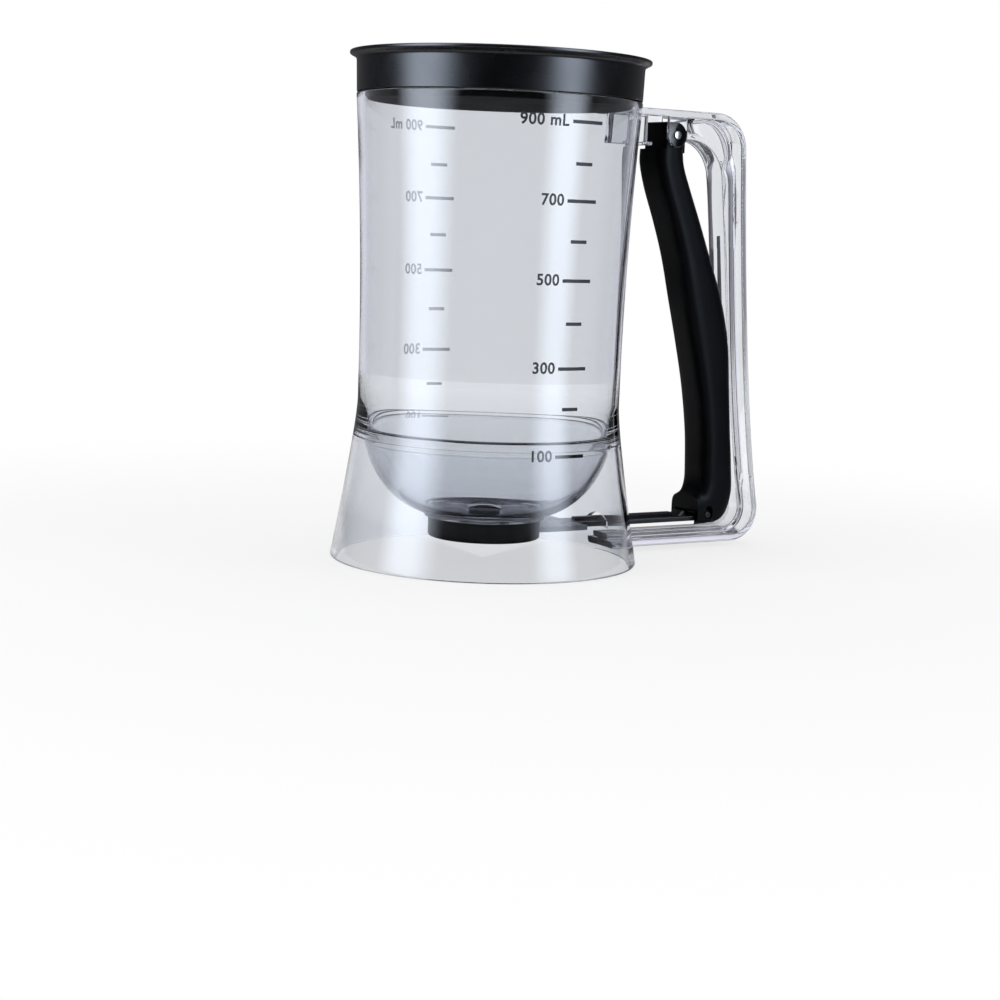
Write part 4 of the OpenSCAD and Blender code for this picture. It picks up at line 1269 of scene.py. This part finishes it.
    def floor(self, studio):
        """A round pale floor that keeps the shadow and fades to the white background."""
        radius, steps = 0.6, 96
        disc = [(x, y, 0) for x, y in circle((AXIS_X, 0), radius, steps)]
        floor = new_piece("floor", disc, [list(range(steps))])
        material = bpy.data.materials.new("floor_paper")
        tree = empty_tree(material)
        paper = add_node(tree, "ShaderNodeBsdfDiffuse", {"Color": (*studio.floor, 1)})
        path = add_node(tree, "ShaderNodeLightPath")
        place = add_node(tree, "ShaderNodeTexCoord")
        shift = add_node(tree, "ShaderNodeVectorMath", {"operation": "SUBTRACT"}, {0: (place, "Object")})
        shift.inputs[1].default_value = (AXIS_X, 0, 0)
        away = add_node(tree, "ShaderNodeVectorMath", {"operation": "LENGTH"}, {0: (shift, 0)})
        way = add_node(tree, "ShaderNodeVectorMath", {"operation": "NORMALIZE"}, {0: (shift, 0)})
        room = self.room(studio, tree, (way, 0), path)
        mirror = add_node(tree, "ShaderNodeMath", {"operation": "MULTIPLY"},
                          {0: (room, 0), 1: (self.shown(tree, path), 0)})
        direct = self.straight(tree, path)
        glow = add_node(tree, "ShaderNodeMath", {"operation": "MAXIMUM"},
                        {0: (mirror, 0), 1: (direct, 0)})
        white = add_node(tree, "ShaderNodeEmission", {"Color": (1, 1, 1, 1)}, {"Strength": (glow, 0)})
        # Near the object, three quarters of what the eye sees is the background and the rest
        # is paper, which carries the shadow
        keep = add_node(tree, "ShaderNodeMath", {"operation": "MULTIPLY", 1: 0.76}, {0: (direct, 0)})
        near = add_node(tree, "ShaderNodeMixShader", links={0: (keep, 0), 1: (paper, 0), 2: (white, 0)})
        # Far from the object the floor is the background itself
        fade = add_node(tree, "ShaderNodeMapRange",
                        {"From Min": 0.12, "From Max": 0.42, "interpolation_type": "SMOOTHSTEP"},
                        {"Value": (away, "Value")})
        blend = add_node(tree, "ShaderNodeMixShader",
                         links={0: (fade, "Result"), 1: (near, 0), 2: (white, 0)})
        add_node(tree, "ShaderNodeOutputMaterial", links={"Surface": (blend, 0)})
        floor.data.materials.append(material)

    def camera(self, scene, studio):
        """The camera, which looks level at the cup before it is pitched, turned and rolled."""
        data = bpy.data.cameras.new("camera")
        data.lens, data.sensor_width = studio.lens, 36.0
        data.clip_start, data.clip_end = 0.01, 50.0
        item = new_object("camera", data)
        yaw, pitch, roll = studio.yaw, studio.pitch, studio.roll
        right = Vector((math.cos(yaw), -math.sin(yaw), 0))
        ahead = Vector((math.sin(yaw) * math.cos(pitch), math.cos(yaw) * math.cos(pitch),
                        -math.sin(pitch)))
        up = right.cross(ahead)
        side = right * math.cos(roll) + up * math.sin(roll)
        over = up * math.cos(roll) - right * math.sin(roll)
        turn = Matrix.Rotation(-studio.handle_turn, 3, "Z")
        basis = turn @ Matrix((side, over, -ahead)).transposed()
        place = self.seen(studio, (0, -studio.distance, studio.height)) + Vector((AXIS_X, 0, 0))
        item.matrix_world = Matrix.Translation(place) @ basis.to_4x4()
        scene.camera = item


OPERATORS = (DISPENSER_OT_clear_moulding, DISPENSER_OT_scale, DISPENSER_OT_lever,
             DISPENSER_OT_valve, DISPENSER_OT_hinge, DISPENSER_OT_lid, DISPENSER_OT_studio)


class DISPENSER_PT_sidebar(Panel):
    """Lists the dispenser's pieces and its sizes"""
    bl_idname = "DISPENSER_PT_sidebar"
    bl_label = "Batter dispenser"
    bl_space_type = "VIEW_3D"
    bl_region_type = "UI"
    bl_category = "Dispenser"

    def draw(self, context):
        for operator in OPERATORS:
            self.layout.operator(operator.bl_idname)
        for name, group in SETTINGS.items():
            box = self.layout.box()
            box.label(text=name.replace("dispenser_", "").capitalize())
            for item in group.__annotations__:
                box.prop(getattr(context.scene, name), item)


def register():
    for item in (*SETTINGS.values(), *OPERATORS, DISPENSER_PT_sidebar):
        bpy.utils.register_class(item)
    for name, group in SETTINGS.items():
        setattr(bpy.types.Scene, name, PointerProperty(type=group))


def unregister():
    for name in SETTINGS:
        delattr(bpy.types.Scene, name)
    for item in (DISPENSER_PT_sidebar, *OPERATORS[::-1], *list(SETTINGS.values())[::-1]):
        bpy.utils.unregister_class(item)


def main():
    """Builds every piece in order."""
    register()
    bpy.ops.dispenser.clear_moulding()
    bpy.ops.dispenser.scale()
    bpy.ops.dispenser.lever()
    bpy.ops.dispenser.valve()
    bpy.ops.dispenser.hinge()
    bpy.ops.dispenser.lid()
    bpy.ops.dispenser.studio()


if __name__ == "__main__":
    main()
